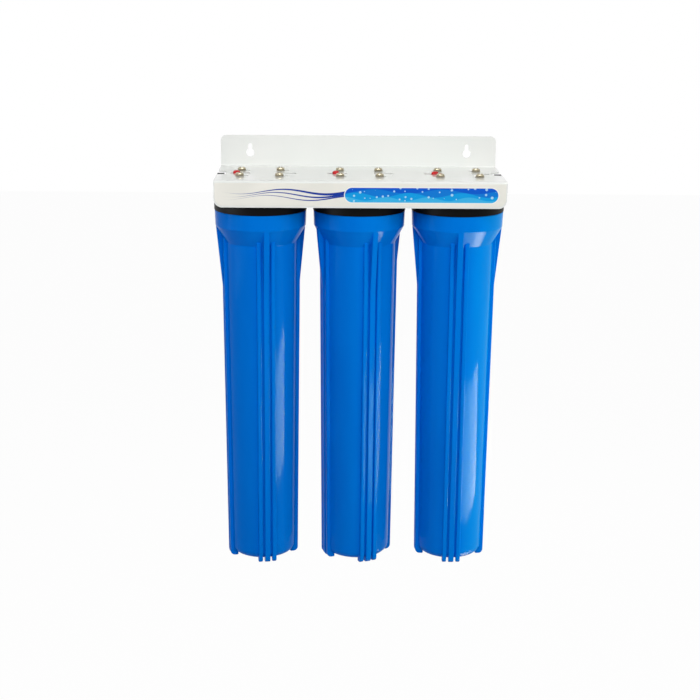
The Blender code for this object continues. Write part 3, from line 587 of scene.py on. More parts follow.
def makeBracket(spec):
    sheet, bend, frontBend = spec["sheet"], spec["bend"], spec["frontBend"]
    under, front = spec["shelfTop"] - sheet, -spec["depth"]
    corners = [(0, spec["top"], 0), (0, under, bend + sheet), (front + sheet, under, frontBend),
               (front + sheet, spec["flangeBottom"], 0),
               (front, spec["flangeBottom"], 0), (front, spec["shelfTop"], frontBend + sheet),
               (-sheet, spec["shelfTop"], bend), (-sheet, spec["top"], 0)]
    section = softCorners(corners, closed=True, steps=8)
    piece = slabPiece("bracketSheet", [(-spec["halfWidth"] * mm, y * mm, z * mm) for y, z in section],
                      (2 * spec["halfWidth"] * mm, 0, 0))
    cuts = []
    middleY = housingY / mm
    for side in (-1, 1):
        cuts.append(keyholeCut("keyholeCut", side * spec["keyholeX"], spec))
        edge = side * spec["halfWidth"]
        corner = spec["plateCorner"]
        cuts.append(cornerCut("plateCornerCut", edge - side * corner, spec["top"] - corner, corner, side, 1,
                              (-6, 4)))
        corner = spec["flangeCorner"]
        cuts.append(cornerCut("flangeCornerCut", edge - side * corner, spec["flangeBottom"] + corner,
                              corner, side, -1, (front - 4, front + 6)))
        cuts.append(notchCut("notchCut", side, spec, under - 4, spec["shelfTop"] + 4))
    for index in (-1, 0, 1):
        groupX = index * spec["groupPitch"] + spec["groupShift"]
        for side in (-1, 1):
            cuts.append(slotCut("reliefSlotCut", groupX + side * spec["reliefX"], middleY,
                                *spec["reliefSlot"], under - 4, spec["shelfTop"] + 4))
            for row in (-1, 1):
                cuts.append(slotCut("screwSlotCut", groupX + side * spec["screwX"],
                                    middleY + row * spec["screwY"], *spec["screwSlot"],
                                    under - 4, spec["shelfTop"] + 4))
    combinePieces(piece, joinPieces(cuts[0], cuts[1:]), "DIFFERENCE")
    applyModifier(piece, "BEVEL",
                  {"width": spec["edge"] * mm, "segments": 2, "limit_method": "ANGLE",
                   "angle_limit": math.radians(50)})
    return finishPiece(piece, powderCoat, root, ["bracket"], 40, weighted=True)


bracket = makeBracket(bracketSpec)
print("bracket:", len(bracket.data.polygons), "faces")


# label: a printed film on the front flange

labelSpec = {"halfWidth": 203.3, "top": -33.4, "bottom": -65.4, "corner": 11, "front": -158.6,
             "back": -158.3}


def makeLabel(spec):
    half = spec["halfWidth"]
    corners = [(-half, spec["bottom"], spec["corner"]), (half, spec["bottom"], spec["corner"]),
               (half, spec["top"], 1.5), (-half, spec["top"], 1.5)]
    outline = softCorners(corners, closed=True, steps=10)
    piece = slabPiece("frontLabel", [(x * mm, spec["front"] * mm, z * mm) for x, z in outline],
                      (0, (spec["back"] - spec["front"]) * mm, 0))
    applyModifier(piece, "BEVEL",
                  {"width": 0.08 * mm, "segments": 2, "limit_method": "ANGLE",
                   "angle_limit": math.radians(60)})
    return finishPiece(piece, labelFilm, root, ["front_label"], 40, weighted=True)


label = makeLabel(labelSpec)
print("label:", len(label.data.polygons), "faces")


# sump: one hollow bowl with its ribs, copied for each housing

sumpSpec = {"height": 532, "neckRadius": 55.4, "neckBore": 49.8, "neckHeight": 14.5, "grooveTop": 13.2,
            "grooveWidth": 3.8,
            "grooveDepth": 3.4, "collarTop": 66.6, "collarLow": 65.8, "collarHeight": 22, "coneHeight": 24,
            "bodyTop": 53.2,
            "bodyLow": 49.0, "dome": 12, "foot": 4, "wall": 4, "floor": 4.5, "seatRadius": 21,
            "seatHeight": 5.5,
            "seatWidth": 2, "spigot": 12.7, "spigotHeight": 15.5, "ribProud": 4, "ribSpacing": 10.3,
            "ribWidth": 6.5,
            "finWidth": 8, "finLength": 90, "ribRound": 1.5, "finRound": 0.9, "footRound": 7, "footInset": 9,
            "turns": (10, 20.5, 0), "threadPitch": 3.4}


def sumpShell(spec):
    low = spec["foot"] - spec["height"]
    bodyTopZ = -spec["collarHeight"] - spec["coneHeight"]
    grooveLow = spec["grooveTop"] - spec["grooveWidth"]
    grooveRadius = spec["neckRadius"] - spec["grooveDepth"]
    floor = low + spec["floor"]
    wall = spec["wall"]
    corners = [(0, low, 0), (spec["bodyLow"], low, spec["dome"]), (spec["bodyTop"], bodyTopZ, 4),
               (spec["collarLow"], -spec["collarHeight"], 1.4), (spec["collarTop"], 0, 0.8),
               (spec["neckRadius"], 0, 0.4),
               (spec["neckRadius"], grooveLow, 0.3), (grooveRadius, grooveLow, 0.4),
               (grooveRadius, spec["grooveTop"], 0.4),
               (spec["neckRadius"], spec["grooveTop"], 0.3), (spec["neckRadius"], spec["neckHeight"], 0.8),
               (spec["neckBore"], spec["neckHeight"], 0.6), (spec["neckBore"], -spec["collarHeight"], 6),
               (spec["bodyTop"] - wall, bodyTopZ, 20), (spec["bodyLow"] - wall, floor, 8),
               (spec["seatRadius"], floor, 0.6),
               (spec["seatRadius"], floor + spec["seatHeight"], 0.4),
               (spec["seatRadius"] - spec["seatWidth"], floor + spec["seatHeight"], 0.4),
               (spec["seatRadius"] - spec["seatWidth"], floor, 0.6), (spec["spigot"], floor, 0.6),
               (spec["spigot"], floor + spec["spigotHeight"], 1.5), (0, floor + spec["spigotHeight"], 0)]
    return turnPiece("sumpShell", [(a * mm, b * mm) for a, b in softCorners(corners, steps=5)], 128)


def sumpRib(spec, place):
    # outline of (radius, height): a side rib starts on the cone and the middle fin under the collar
    isFin = place == 0
    sag = 0 if isFin else spec["ribSpacing"] ** 2 / 2 / spec["bodyTop"]
    bodyTopZ = -spec["collarHeight"] - spec["coneHeight"]
    domeZ = spec["foot"] - spec["height"] + spec["dome"]
    outerLow = spec["bodyLow"] + spec["ribProud"] - sag

    def bodyRadius(z):
        return spec["bodyTop"] + (spec["bodyLow"] - spec["bodyTop"]) * (bodyTopZ - z) / (bodyTopZ - domeZ)
    if isFin:
        finEnd = bodyTopZ - spec["finLength"] + spec["coneHeight"]
        head = [(spec["collarLow"] - 0.3, 1 - spec["collarHeight"], 0),
                (bodyRadius(finEnd) + spec["ribProud"], finEnd, 40)]
        top = 1 - spec["collarHeight"]
    else:
        top = -spec["collarHeight"] - spec["coneHeight"] * 0.72
        head = [(bodyRadius(top) + spec["ribProud"] - sag, top, 0)]
    corners = head + [(outerLow, -spec["height"], spec["footRound"]),
                      (spec["bodyLow"] - spec["footInset"], -spec["height"], 1.5),
                      (spec["bodyLow"] - spec["footInset"], domeZ, 0),
                      (spec["bodyLow"] - 2.5 - sag, domeZ + spec["dome"], 0),
                      (spec["bodyTop"] - 2.5 - sag, top, 0)]
    outline = softCorners(corners, closed=True, steps=6)
    width = spec["finWidth"] if isFin else spec["ribWidth"]
    side = place * spec["ribSpacing"] - width / 2
    rib = slabPiece("sumpRib", [(r * mm, side * mm, z * mm) for r, z in outline], (0, width * mm, 0))
    applyModifier(rib, "BEVEL",
                  {"width": (spec["finRound"] if isFin else spec["ribRound"]) * mm, "segments": 3,
                                 "limit_method": "ANGLE", "angle_limit": math.radians(50)})
    return rib


def makeSumps(spec):
    shell = sumpShell(spec)
    ribs = [sumpRib(spec, place) for place in (-1, 0, 1)]
    group = joinPieces(ribs[0], ribs[1:])
    groups = [group] + [copyPiece(group, "ribGroup", turn=(0, 0, math.pi / 2 * quarter)) for quarter in (1,
                                                                                                         2,
                                                                                                         3)]
    thread = threadRidge("neckThread", (spec["neckRadius"] - 0.3) * mm, (spec["neckRadius"] + 0.55) * mm,
                         2.2 * mm, 1.0 * mm,
                         spec["threadPitch"] * mm, 2, 96)
    thread.location.z = 1.5 * mm
    pickOnly(thread)
    bpy.ops.object.transform_apply(location=True, rotation=True, scale=True)
    joinPieces(shell, groups + [thread])
    made = []
    for number, (x, turn) in enumerate(zip(housingX, spec["turns"]), 1):
        copy = copyPiece(shell, f"blueSump{number}", (x, housingY, collarTopZ),
                         (0, 0, math.radians(turn - 90)))
        made.append(finishPiece(copy, bluePlastic, f"sump_{number}",
                                [f"sump_{number}"], 30, weighted=True))
    bpy.data.objects.remove(shell, do_unlink=True)
    return made


sumps = makeSumps(sumpSpec)
print("sumps:", len(sumps[0].data.polygons), "faces each")


# O-rings of the sumps

ringSpec = {"radius": 53.9, "section": 1.6, "height": 11.3}


def makeRings(spec):
    points = []
    for step in range(17):
        angle = math.tau * step / 16
        points.append(((spec["radius"] + spec["section"] * math.cos(angle)) * mm,
                       (spec["height"] + spec["section"] * math.sin(angle)) * mm))
    ring = turnPiece("sealRing", points, 96)
    for number, x in enumerate(housingX, 1):
        copy = copyPiece(ring, f"sumpSealRing{number}", (x, housingY, collarTopZ))
        finishPiece(copy, rubber, f"sump_{number}", [f"sump_o_ring_{number}"], 60)
    bpy.data.objects.remove(ring, do_unlink=True)


makeRings(ringSpec)
print("seal rings: 3")


# caps: moulded heads with ports, bosses, webs and a standpipe

capSpec = {"skirt": 67, "skirtHeight": 18.5, "shoulder": 58, "shoulderHeight": 28, "crown": 44,
           "crownHeight": 42,
           "recess": 56.4, "recessHeight": 15, "chamber": 51.5, "chamberHeight": 22, "pipe": 15,
           "pipeDrop": 9.7,
           "flange": 22, "flangeThick": 4, "pipeBore": 9, "spigot": 12.7, "spigotLength": 11,
           "portFace": 62.5,
           "portHeight": 31, "portBore": 12, "portWall": 5.5, "portDepth": 20, "channel": 14, "passage": 8,
           "height": 49.2,
           "screwX": 28.2, "screwY": 28.5, "boss": 8, "bossRoot": 28, "hole": 2.7, "holeLow": 29.2,
           "web": 3, "webTop": 46,
           "reliefX": -34, "reliefBoss": 8.7, "reliefTop": 48.6, "wellFloor": 38, "well": 5.9, "stem": 2.3,
           "endRing": 20.3, "endRingFrom": 52, "endRingTo": 62, "endRingInner": 14.5,
           "threadPitch": 1.814}


def capBody(spec):
    corners = [(0, spec["crownHeight"], 0), (spec["crown"], spec["crownHeight"], 3),
               (spec["shoulder"], spec["shoulderHeight"], 6),
               (spec["skirt"], spec["skirtHeight"], 3), (spec["skirt"], 0, 0.8), (spec["flange"], 0, 0),
               (spec["flange"], -spec["pipeDrop"], 0.8), (spec["spigot"], -spec["pipeDrop"], 0.5),
               (spec["spigot"], -spec["pipeDrop"] - spec["spigotLength"], 1.5),
               (0, -spec["pipeDrop"] - spec["spigotLength"], 0)]
    piece = turnPiece("capBody", [(a * mm, b * mm) for a, b in softCorners(corners, steps=5)], 112)
    port = (0, 0, spec["portHeight"] * mm)
    barrel = rodPiece("capBarrel", (spec["portBore"] + spec["portWall"]) * mm, -spec["portFace"] * mm,
                      spec["portFace"] * mm, 60, "X", port, 0.8 * mm)
    combinePieces(piece, barrel, "UNION")
    # four webs stand on the crown and join the screw bosses in a frame
    webLow, webTop = (spec["crownHeight"] - spec["web"]) * mm, spec["webTop"] * mm
    outer = [((spec["screwX"] + spec["web"] / 2) * sx * mm, (spec["screwY"] + spec["web"] / 2) * sy * mm,
              webLow) for sx, sy in ((-1, -1), (1, -1), (1, 1), (-1, 1))]
    inner = [((spec["screwX"] - spec["web"] / 2) * sx * mm, (spec["screwY"] - spec["web"] / 2) * sy * mm,
              webLow - mm) for sx, sy in ((-1, -1), (1, -1), (1, 1), (-1, 1))]
    webs = slabPiece("capWebs", outer, (0, 0, webTop - webLow))
    combinePieces(webs, slabPiece("capWebHollow", inner, (0, 0, webTop - webLow + 2 * mm)), "DIFFERENCE")
    combinePieces(piece, webs, "UNION")
    places = [(sx * spec["screwX"] * mm, sy * spec["screwY"] * mm, 0) for sx in (-1, 1) for sy in (-1, 1)]
    boss = rodPiece("screwBoss", spec["boss"] * mm, spec["bossRoot"] * mm, spec["height"] * mm, 44,
                    edge=0.7 * mm)
    bosses = [copyPiece(boss, "screwBoss", place) for place in places]
    bpy.data.objects.remove(boss, do_unlink=True)
    combinePieces(piece, joinPieces(bosses[0], bosses[1:]), "UNION")
    relief = rodPiece("reliefBoss", spec["reliefBoss"] * mm, (spec["wellFloor"] - 5) * mm,
                      spec["reliefTop"] * mm, 48, "Z", (spec["reliefX"] * mm, 0, 0), 0.6 * mm)
    combinePieces(piece, relief, "UNION")
    return piece, places


def cutCap(piece, places, spec):
    low = spec["flangeThick"] - spec["pipeDrop"]
    corners = [(spec["pipe"], spec["chamberHeight"], 2), (spec["chamber"], spec["chamberHeight"], 3),
               (spec["chamber"], spec["recessHeight"], 0.4),
               (spec["recess"], spec["recessHeight"], 0.4), (spec["recess"], low, 0),
               (spec["pipe"], low, 1.2)]
    outline = softCorners(corners, closed=True, steps=4)
    chamber = turnPiece("capChamber", [(a * mm, b * mm) for a, b in outline + outline[:1]], 104)
    port = (0, 0, spec["portHeight"] * mm)
    combinePieces(chamber, rodPiece("channelCut", spec["channel"] * mm, 0, 58 * mm, 44, "X", port),
                  "DIFFERENCE")
    combinePieces(piece, chamber, "DIFFERENCE")
    hole = rodPiece("screwHole", spec["hole"] * mm, spec["holeLow"] * mm, (spec["height"] + 4) * mm, 24)
    holes = [copyPiece(hole, "screwHole", place) for place in places]
    bpy.data.objects.remove(hole, do_unlink=True)
    combinePieces(piece, joinPieces(holes[0], holes[1:]), "DIFFERENCE")
    top = spec["reliefTop"] + 4
    well = [(0, top), (spec["well"], top), (spec["well"], spec["wellFloor"]),
            (spec["stem"], spec["wellFloor"]),
            (spec["stem"], spec["chamberHeight"] - 4), (0, spec["chamberHeight"] - 4)]
    combinePieces(piece, turnPiece("reliefWell", [(a * mm, b * mm) for a, b in well], 36, "Z",
                                   (spec["reliefX"] * mm, 0, 0)), "DIFFERENCE")
    inner, mouth = spec["portFace"] - spec["portDepth"], spec["portFace"] + 4
    bores = [rodPiece("portBore", spec["portBore"] * mm, inner * mm, mouth * mm, 56, "X", port),
             rodPiece("portBore", spec["portBore"] * mm, -mouth * mm, -inner * mm, 56, "X", port)]
    combinePieces(piece, joinPieces(bores[0], bores[1:]), "DIFFERENCE")
    combinePieces(piece, rodPiece("passageCut", spec["passage"] * mm, 0, (inner + 10) * mm, 36, "X", port),
                  "DIFFERENCE")
    riserLow = -spec["pipeDrop"] - spec["spigotLength"] - 4
    combinePieces(piece, rodPiece("riserCut", spec["pipeBore"] * mm, riserLow * mm,
                                  (spec["portHeight"] + spec["pipeBore"]) * mm, 40), "DIFFERENCE")


def endRing(spec):
    # a stiffening ring for the outer end of the row's first and last port, clear of the recess below it
    port = (0, 0, spec["portHeight"] * mm)
    ring = rodPiece("portEndRing", spec["endRing"] * mm, spec["endRingFrom"] * mm, spec["endRingTo"] * mm,
                    72, "X", port, 0.8 * mm)
    hollow = rodPiece("ringHollow", spec["endRingInner"] * mm, (spec["endRingFrom"] - 4) * mm,
                      (spec["endRingTo"] + 4) * mm, 56, "X", port)
    combinePieces(ring, hollow, "DIFFERENCE")
    room = rodPiece("ringRecess", (spec["recess"] + 0.8) * mm, -4 * mm, (spec["recessHeight"] + 0.8) * mm,
                    104)
    combinePieces(ring, room, "DIFFERENCE")
    return ring


def portThread(spec, side):
    # the female thread of a port, as a ridge wound inside its bore
    ridge = threadRidge("portThread", (spec["portBore"] + 0.2) * mm, (spec["portBore"] - 0.75) * mm,
                        1.5 * mm, 0.3 * mm,
                        spec["threadPitch"] * mm, 8, 40)
    start = spec["portFace"] - 1.2 if side > 0 else -spec["portFace"] + 1.2 + 8 * spec["threadPitch"]
    copy = copyPiece(ridge, "portThread", (start * mm, 0, spec["portHeight"] * mm), (0, -math.pi / 2, 0))
    bpy.data.objects.remove(ridge, do_unlink=True)
    return copy


def makeCaps(spec):
    piece, places = capBody(spec)
    cutCap(piece, places, spec)
    ring = endRing(spec)
    for number, x in enumerate(housingX, 1):
        copy = copyPiece(piece, f"blackCap{number}", (x, housingY, capRimZ))
        if number != 2:   # only the two open ports show their thread; nipples fill the others
            outward = -1 if number == 1 else 1
            turn = math.pi if number == 1 else 0
            combinePieces(copy, copyPiece(ring, "portEndRing", (x, housingY, capRimZ), (0, 0, turn)),
                          "UNION")
            thread = portThread(spec, outward)
            thread.location = (x, housingY, capRimZ)
            pickOnly(thread)
            bpy.ops.object.transform_apply(location=True, rotation=True, scale=True)
            joinPieces(copy, [thread])
        finishPiece(copy, blackPlastic, root, [f"cap_{number}"], 30, weighted=True)
    count = len(piece.data.polygons)
    for thing in (piece, ring):
        bpy.data.objects.remove(thing, do_unlink=True)
    return count


print("caps:", makeCaps(capSpec), "faces each")


# nipples between the caps: a hexagon, a threaded end each way and a bore

nippleSpec = {"start": -24, "end": 24, "root": 11.1, "crest": 11.65, "bore": 8.7, "hexFlats": 27,
              "hexHalf": 4.2, "pitch": 1.814}


def makeNipples(spec):
    root3 = math.sqrt(3)
    end, bore = spec["end"], spec["bore"]
    corners = [(bore, -end, 0), (spec["root"], -end, 0.8), (spec["root"], end, 0.8), (bore, end, 0)]
    tube = turnPiece("nippleTube",
                     [(a * mm, b * mm) for a, b in softCorners(corners, steps=3)] + [(bore * mm,
                                                                                      -end * mm)], 60, "X")
    hexOutline = [(-spec["hexHalf"] * mm, spec["hexFlats"] / root3 * mm * math.cos(math.tau * k / 6),
                   spec["hexFlats"] / root3 * mm * math.sin(math.tau * k / 6)) for k in range(6)]
    hexagon = slabPiece("nippleHexagon", hexOutline, (2 * spec["hexHalf"] * mm, 0, 0))
    combinePieces(hexagon, rodPiece("hexHole", 10 * mm, -9 * mm, 9 * mm, 60, "X"), "DIFFERENCE")
    applyModifier(hexagon, "BEVEL",
                  {"width": 0.5 * mm, "segments": 2, "limit_method": "ANGLE",
                   "angle_limit": math.radians(40)})
    threads = []
    for start in (spec["start"] + 1.2, spec["hexHalf"] + 1.4):
        ridge = threadRidge("nippleThread", (spec["root"] - 0.2) * mm, spec["crest"] * mm, 1.5 * mm,
                            0.3 * mm, spec["pitch"] * mm, 9, 40)
        copy = copyPiece(ridge, "nippleThread", (start * mm, 0, 0), (0, math.pi / 2, 0))
        bpy.data.objects.remove(ridge, do_unlink=True)
        threads.append(copy)
    piece = joinPieces(tube, [hexagon] + threads)
    for number in (1, 2):
        x = (housingX[number - 1] + housingX[number]) / 2
        copy = copyPiece(piece, f"portNipple{number}", (x, housingY, capRimZ + capSpec["portHeight"] * mm))
        finishPiece(copy, blackPlastic, root, [f"port_nipple_{number}"], 30)
    bpy.data.objects.remove(piece, do_unlink=True)


makeNipples(nippleSpec)
print("nipples: 2")


# screws and washers that hold each cap under the shelf

screwSpec = {"under": 53.3, "head": 5.9, "headHeight": 3.5, "rim": 0.9, "length": 22, "tip": 3,
             "shank": 2.0, "crest": 2.4,
             "pitch": 1.6, "recessLength": 6.8, "recessWidth": 1.4, "recessDepth": 2.4, "slotWidth": 1.6,
             "slotDepth": 2.0,
             "washerRadius": 6.3, "washerHole": 2.7,
             "washerLow": 51.8, "washerThick": 1.2, "turns": (4, -6, 3, 8, -3, 5, -7, 2, 6, -4, 3, -5)}


def makeScrew(spec):
    under = spec["under"]
    top = under + spec["headHeight"]
    dome = spec["headHeight"] - spec["rim"]
    crown = [(spec["head"] * math.sin(math.pi / 2 * k / 8),
              under + spec["rim"] + dome * math.cos(math.pi / 2 * k / 8)) for k in range(9)]
    rest = [(spec["head"], under + 0.3), (spec["head"] - 0.3, under), (spec["shank"], under),
            (spec["shank"], under - spec["length"] + spec["tip"]),
            (0, under - spec["length"])]
    piece = turnPiece("panScrew", [(a * mm, b * mm) for a, b in crown + rest], 44)
    half, arm = spec["recessWidth"] / 2, spec["recessLength"] / 2
    plus = [(arm, -half), (arm, half), (half, half), (half, arm), (-half, arm), (-half, half), (-arm, half),
            (-arm, -half),
            (-half, -half), (-half, -arm), (half, -arm), (half, -half)]
    cross = drawChain("crossRecess", [Vector((a * mm, b * mm, (top + 1) * mm)) for a, b in plus])
    bpy.ops.mesh.edge_face_add()
    bpy.ops.mesh.extrude_region_move(TRANSFORM_OT_translate={"value": (0, 0,
                                                                       -(spec["recessDepth"] + 1) * mm)})
    bpy.ops.transform.resize(value=(0.55, 0.55, 1), center_override=(0, 0, 0))   # the driver's point tapers
    closeSeams()
    combinePieces(piece, cross, "DIFFERENCE")
    # the driver's slot runs right across the head
    reach, low = spec["head"] + 1, spec["slotWidth"] / 2
    slot = slabPiece("driverSlot",
                     [(a * mm, b * mm, (top - spec["slotDepth"]) * mm) for a,
                      b in ((-low, -reach), (low, -reach), (low, reach), (-low, reach))],
                     (0, 0, (spec["slotDepth"] + 1) * mm))
    combinePieces(piece, slot, "DIFFERENCE")
    ridge = threadRidge("screwThread", (spec["shank"] - 0.1) * mm, spec["crest"] * mm, 0.7 * mm, 0.12 * mm,
                        spec["pitch"] * mm, 10, 20)
    ridge.location.z = (under - spec["length"] + spec["tip"]) * mm
    pickOnly(ridge)
    bpy.ops.object.transform_apply(location=True, rotation=True, scale=True)
    return joinPieces(piece, [ridge])


def makeScrews(spec):
    screw = makeScrew(spec)
    low, high = spec["washerLow"], spec["washerLow"] + spec["washerThick"]
    corners = [(spec["washerHole"], low, 0.15), (spec["washerRadius"], low, 0.3),
               (spec["washerRadius"], high, 0.3), (spec["washerHole"], high, 0.15)]
    outline = softCorners(corners, closed=True, steps=3)
    washer = turnPiece("flatWasher", [(a * mm, b * mm) for a, b in outline + outline[:1]], 48)
    count = 0
    for number, x in enumerate(housingX, 1):
        spots = [(sx * capSpec["screwX"] * mm, sy * capSpec["screwY"] * mm) for sy in (-1, 1) for sx in (-1,
                                                                                                         1)]
        for spot, (dx, dy) in enumerate(spots, 1):
            place = (x + dx, housingY + dy, capRimZ)
            copy = copyPiece(screw, f"capScrew{number}x{spot}", place,
                             (0, 0, math.radians(spec["turns"][count])))
            finishPiece(copy, zincPlate, root, [f"cap_screw_{number}_{spot}"], 35)
            copy = copyPiece(washer, f"screwWasher{number}x{spot}", place)
            finishPiece(copy, zincPlate, root, [f"screw_washer_{number}_{spot}"], 35)
            count += 1
    for thing in (screw, washer):
        bpy.data.objects.remove(thing, do_unlink=True)
    return count


print("screws with washers:", makeScrews(screwSpec))


# pressure relief: the red button with its seal, and the spring under its head

buttonSpec = {"x": -34, "top": 55.8, "radius": 5.3, "dome": 3.2, "headLow": 47.5, "stem": 1.9,
              "footTop": 19.6, "foot": 4,
              "footLow": 18.2, "sealTop": 21.7, "sealLow": 19.9, "sealHole": 2.2}
springSpec = {"wire": 0.4, "radius": 3.85, "low": 38.7, "high": 46.8, "turns": 3, "fixedEnd": 38.3,
              "topEnd": 47.2, "travel": 2.5}


def makeButtons(spec):
    crown = [(spec["radius"] * math.sin(math.pi / 2 * k / 8),
              spec["top"] - spec["dome"] + spec["dome"] * math.cos(math.pi / 2 * k / 8)) for k in range(9)]
    lower = softCorners([(spec["radius"], spec["top"] - spec["dome"], 0),
                         (spec["radius"], spec["headLow"], 0.4), (spec["stem"], spec["headLow"], 0.4),
                         (spec["stem"], spec["footTop"], 0.3), (spec["foot"], spec["footTop"], 0.3),
                         (spec["foot"], spec["footLow"], 0.4),
                         (0, spec["footLow"], 0)], steps=3)
    button = turnPiece("reliefButton", [(a * mm, b * mm) for a, b in crown[:-1] + lower], 48)
    corners = [(spec["sealHole"], spec["sealLow"], 0.2), (spec["foot"], spec["sealLow"], 0.3),
               (spec["foot"], spec["sealTop"], 0.3), (spec["sealHole"], spec["sealTop"], 0.2)]
    outline = softCorners(corners, closed=True, steps=3)
    seal = turnPiece("reliefSeal", [(a * mm, b * mm) for a, b in outline + outline[:1]], 40)
    for number, x in enumerate(housingX, 1):
        place = (x + spec["x"] * mm, housingY, capRimZ)
        body = f"relief_button_{number}"
        finishPiece(copyPiece(button, f"redButton{number}", place), redPlastic, body,
                    [body], 35)
        finishPiece(copyPiece(seal, f"buttonSeal{number}", place), rubber, body,
                    [f"relief_seal_{number}"], 35)
    for thing in (button, seal):
        bpy.data.objects.remove(thing, do_unlink=True)


def makeSprings(spec):
    # a small ring of wire, wound up the helix by a Screw modifier
    ring = []
    for step in range(9):
        angle = math.tau * step / 8
        ring.append(Vector(((spec["radius"] + spec["wire"] * math.cos(angle)) * mm, 0,
                            (spec["low"] + spec["wire"] * math.sin(angle)) * mm)))
    spring = drawChain("springCoil", ring)
    bpy.ops.mesh.remove_doubles(threshold=0.004 * mm)
    bpy.ops.object.mode_set(mode="OBJECT")
    applyModifier(spring, "SCREW",
                  {"axis": "Z", "angle": math.tau,
                   "screw_offset": (spec["high"] - spec["low"]) / spec["turns"] * mm,
                                    "iterations": spec["turns"], "steps": 32, "render_steps": 32,
                                    "use_merge_vertices": False})
    bpy.ops.object.mode_set(mode="EDIT")
    bpy.ops.mesh.select_all(action="SELECT")
    bpy.ops.mesh.fill_holes(sides=10)
    closeSeams()
    for number, x in enumerate(housingX, 1):
        copy = copyPiece(spring, f"reliefSpring{number}", (x + buttonSpec["x"] * mm, housingY, capRimZ))
        finishPiece(copy, springWire, root, [f"relief_spring_{number}"], 60)
        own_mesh(copy)
    bpy.data.objects.remove(spring, do_unlink=True)


makeButtons(buttonSpec)
makeSprings(springSpec)
print("relief buttons, seals and springs: 3 each")


# floor, background, lamps and camera

studioSpec = {"floorZ": -1.15, "worldFill": 0.06, "background": 1.0, "floorGlow": 0.975}
bowls, heads, fasteners = "blueSump", "blackCap", "capScrew"
sheetMetal = ("bracketSheet", "frontLabel")
lampSpread = 140   # the gloss lamps fan out less, so that little of them is seen in the gloss from behind
lampSpec = {
    # place, the point it faces, width, height, degrees it is rolled, power in watts, colour, seen by matt
    # surfaces, seen in gloss, and the pieces that it lights where it doesn't light them all
    "keyLamp": ((0.35, -1.6, 0.85), (0.0, -0.1, -0.3), 1.2, 1.2, 0, 18.0, "#FFFFFF", True, False, ()),
    "leftFill": ((-0.8, -1.5, 0.6), (0.0, -0.1, -0.3), 1.0, 1.0, 0, 11.0, "#FFFFFF", True, False, ()),
    "topFill": ((0.1, -0.2, 1.2), (0.0, -0.12, 0.0), 1.0, 1.0, 0, 2.0, "#FFFFFF", True, False, ()),
    "rightBox": ((1.1, 0.02, -0.38), (0.14, -0.1, -0.35), 0.7, 0.62, 0, 10.5, "#FFFFBC", True, False,
                 (bowls, heads)),
    "rightNear": ((0.7, -0.5, -0.42), (0.14, -0.1, -0.36), 0.4, 0.4, 0, 2.6, "#FFFFD4", True, False,
                  (bowls,)),
    "rightTop": ((0.75, -0.6, 0.35), (0.15, -0.1, -0.03), 0.4, 0.4, 0, 1.1, "#FFFFF4", True, False,
                 sheetMetal),
    "leftSide": ((-1.2, 0.1, -0.05), (-0.14, -0.1, -0.3), 0.7, 0.7, 0, 3.0, "#FFFFFF", True, False, ()),
    "backFill": ((0.3, 1.8, 0.5), (0.0, -0.1, -0.3), 1.4, 1.4, 0, 17.0, "#FFFFFF", True, False, ()),
    "glossBox": ((0.5, -0.40, -0.60), (0.0, -0.40, -0.60), 0.60, 0.25, 17, 20.0, "#FFDDB8", False, True,
                 (bowls,)),
    "lowGloss": ((0.78, -0.35, -1.12), (0.78, -0.35, 0.0), 0.8, 0.8, 0, 52.0, "#FFDDB8", False, True,
                 (bowls + "3",)),
    "lowStrip": ((0.8, -0.225, -1.12), (0.8, -0.225, 0.0), 0.4, 0.45, 0, 20.0, "#FFDDB8", False, True,
                 (bowls + "2",)),
    "leftGloss": ((-0.9, -0.55, 0.12), (0.0, -0.55, 0.12), 0.8, 1.0, 0, 5.0, "#FFFFFF", False, True,
                  (bowls, heads)),
    "screwGloss": ((0.0, -0.75, 1.0), (0.0, -0.1, 0.0), 1.3, 1.0, 0, 15.0, "#FFFFFF", False, True,
                   (fasteners,)),
}
cameraSpec = {"place": (-0.0481, -2.1345, 0.2578), "turnDegrees": (74.964, -0.466, -0.893), "lens": 73.39}


def whiteToCamera(tree, shown, lit):
    # the picture, gloss and glass see the plain white, and the rest of the light sees the other strength
    path = addNode(tree, "ShaderNodeLightPath")
    seen = addMath(tree, "MAXIMUM", path.outputs["Is Camera Ray"],
                   addMath(tree, "MAXIMUM", path.outputs["Is Glossy Ray"],
                           path.outputs["Is Transmission Ray"]))
    return addNode(tree, "ShaderNodeMapRange", {"To Min": lit, "To Max": shown}, {"Value": seen}).outputs[0]


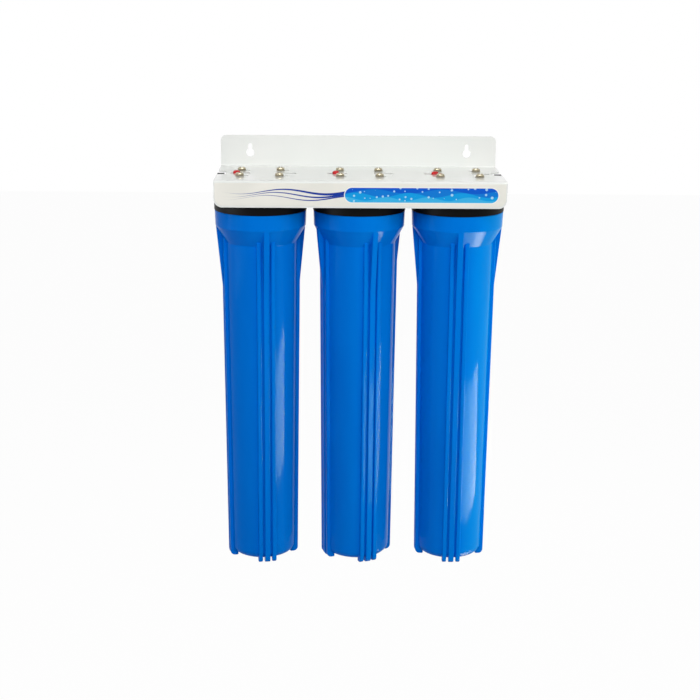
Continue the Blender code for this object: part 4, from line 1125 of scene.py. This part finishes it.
def makeStudio(spec):
    world = bpy.data.worlds.new("softStudio")
    bpy.context.scene.world = world
    world.use_nodes = True
    background = world.node_tree.nodes["Background"]
    background.inputs["Color"].default_value = (1, 1, 1, 1)
    world.node_tree.links.new(whiteToCamera(world.node_tree, spec["background"], spec["worldFill"]),
                              background.inputs["Strength"])
    deselectAll()
    bpy.ops.mesh.primitive_plane_add(size=14, location=(0, 0, spec["floorZ"]))
    floor = bpy.context.object
    floor.name = "studioFloor"
    material = bpy.data.materials.new("paleFloor")
    material.use_nodes = True
    tree = material.node_tree
    # a matt white floor that keeps a little of the shadow, and is white to the camera
    matt = addNode(tree, "ShaderNodeBsdfDiffuse", {"Color": (0.85, 0.85, 0.85, 1)})
    glow = addNode(tree, "ShaderNodeEmission", {"Strength": 1.0})
    share = whiteToCamera(tree, spec["floorGlow"], 0.0)
    mix = addNode(tree, "ShaderNodeMixShader", {}, {0: share, 1: matt.outputs[0], 2: glow.outputs[0]})
    tree.links.new(mix.outputs[0], tree.nodes["Material Output"].inputs["Surface"])
    floor.data.materials.append(material)


def makeLamps(spec):
    for name, (place, aim, width, height, roll, power, colour, inMatt, inGloss, pieces) in spec.items():
        deselectAll()
        bpy.ops.object.light_add(type="AREA", location=place)
        lamp = bpy.context.object
        lamp.name = name
        lamp.data.shape = "RECTANGLE"
        lamp.data.size = width
        lamp.data.size_y = height
        lamp.data.energy = power
        lamp.data.spread = math.radians(lampSpread if inGloss else 180)
        lamp.data.color = linearColour(colour)[:3]
        lamp.visible_diffuse = inMatt
        lamp.visible_glossy = inGloss
        if pieces:
            lit = bpy.data.collections.new(name + "Pieces")
            for thing in bpy.data.objects:
                if thing.name.startswith(pieces):
                    lit.objects.link(thing)
            lamp.light_linking.receiver_collection = lit
        lamp.rotation_euler = (Vector(aim) - Vector(place)).to_track_quat("-Z", "Y").to_euler()
        lamp.rotation_euler.rotate_axis("Z", math.radians(roll))


def makeCamera(spec):
    deselectAll()
    bpy.ops.object.camera_add(location=spec["place"],
                              rotation=[math.radians(turn) for turn in spec["turnDegrees"]])
    camera = bpy.context.object
    camera.data.lens = spec["lens"]
    camera.data.sensor_width = 36
    bpy.context.scene.camera = camera


makeStudio(studioSpec)
makeLamps(lampSpec)
makeCamera(cameraSpec)
bpy.context.scene.view_settings.view_transform = "Standard"
print("studio ready")
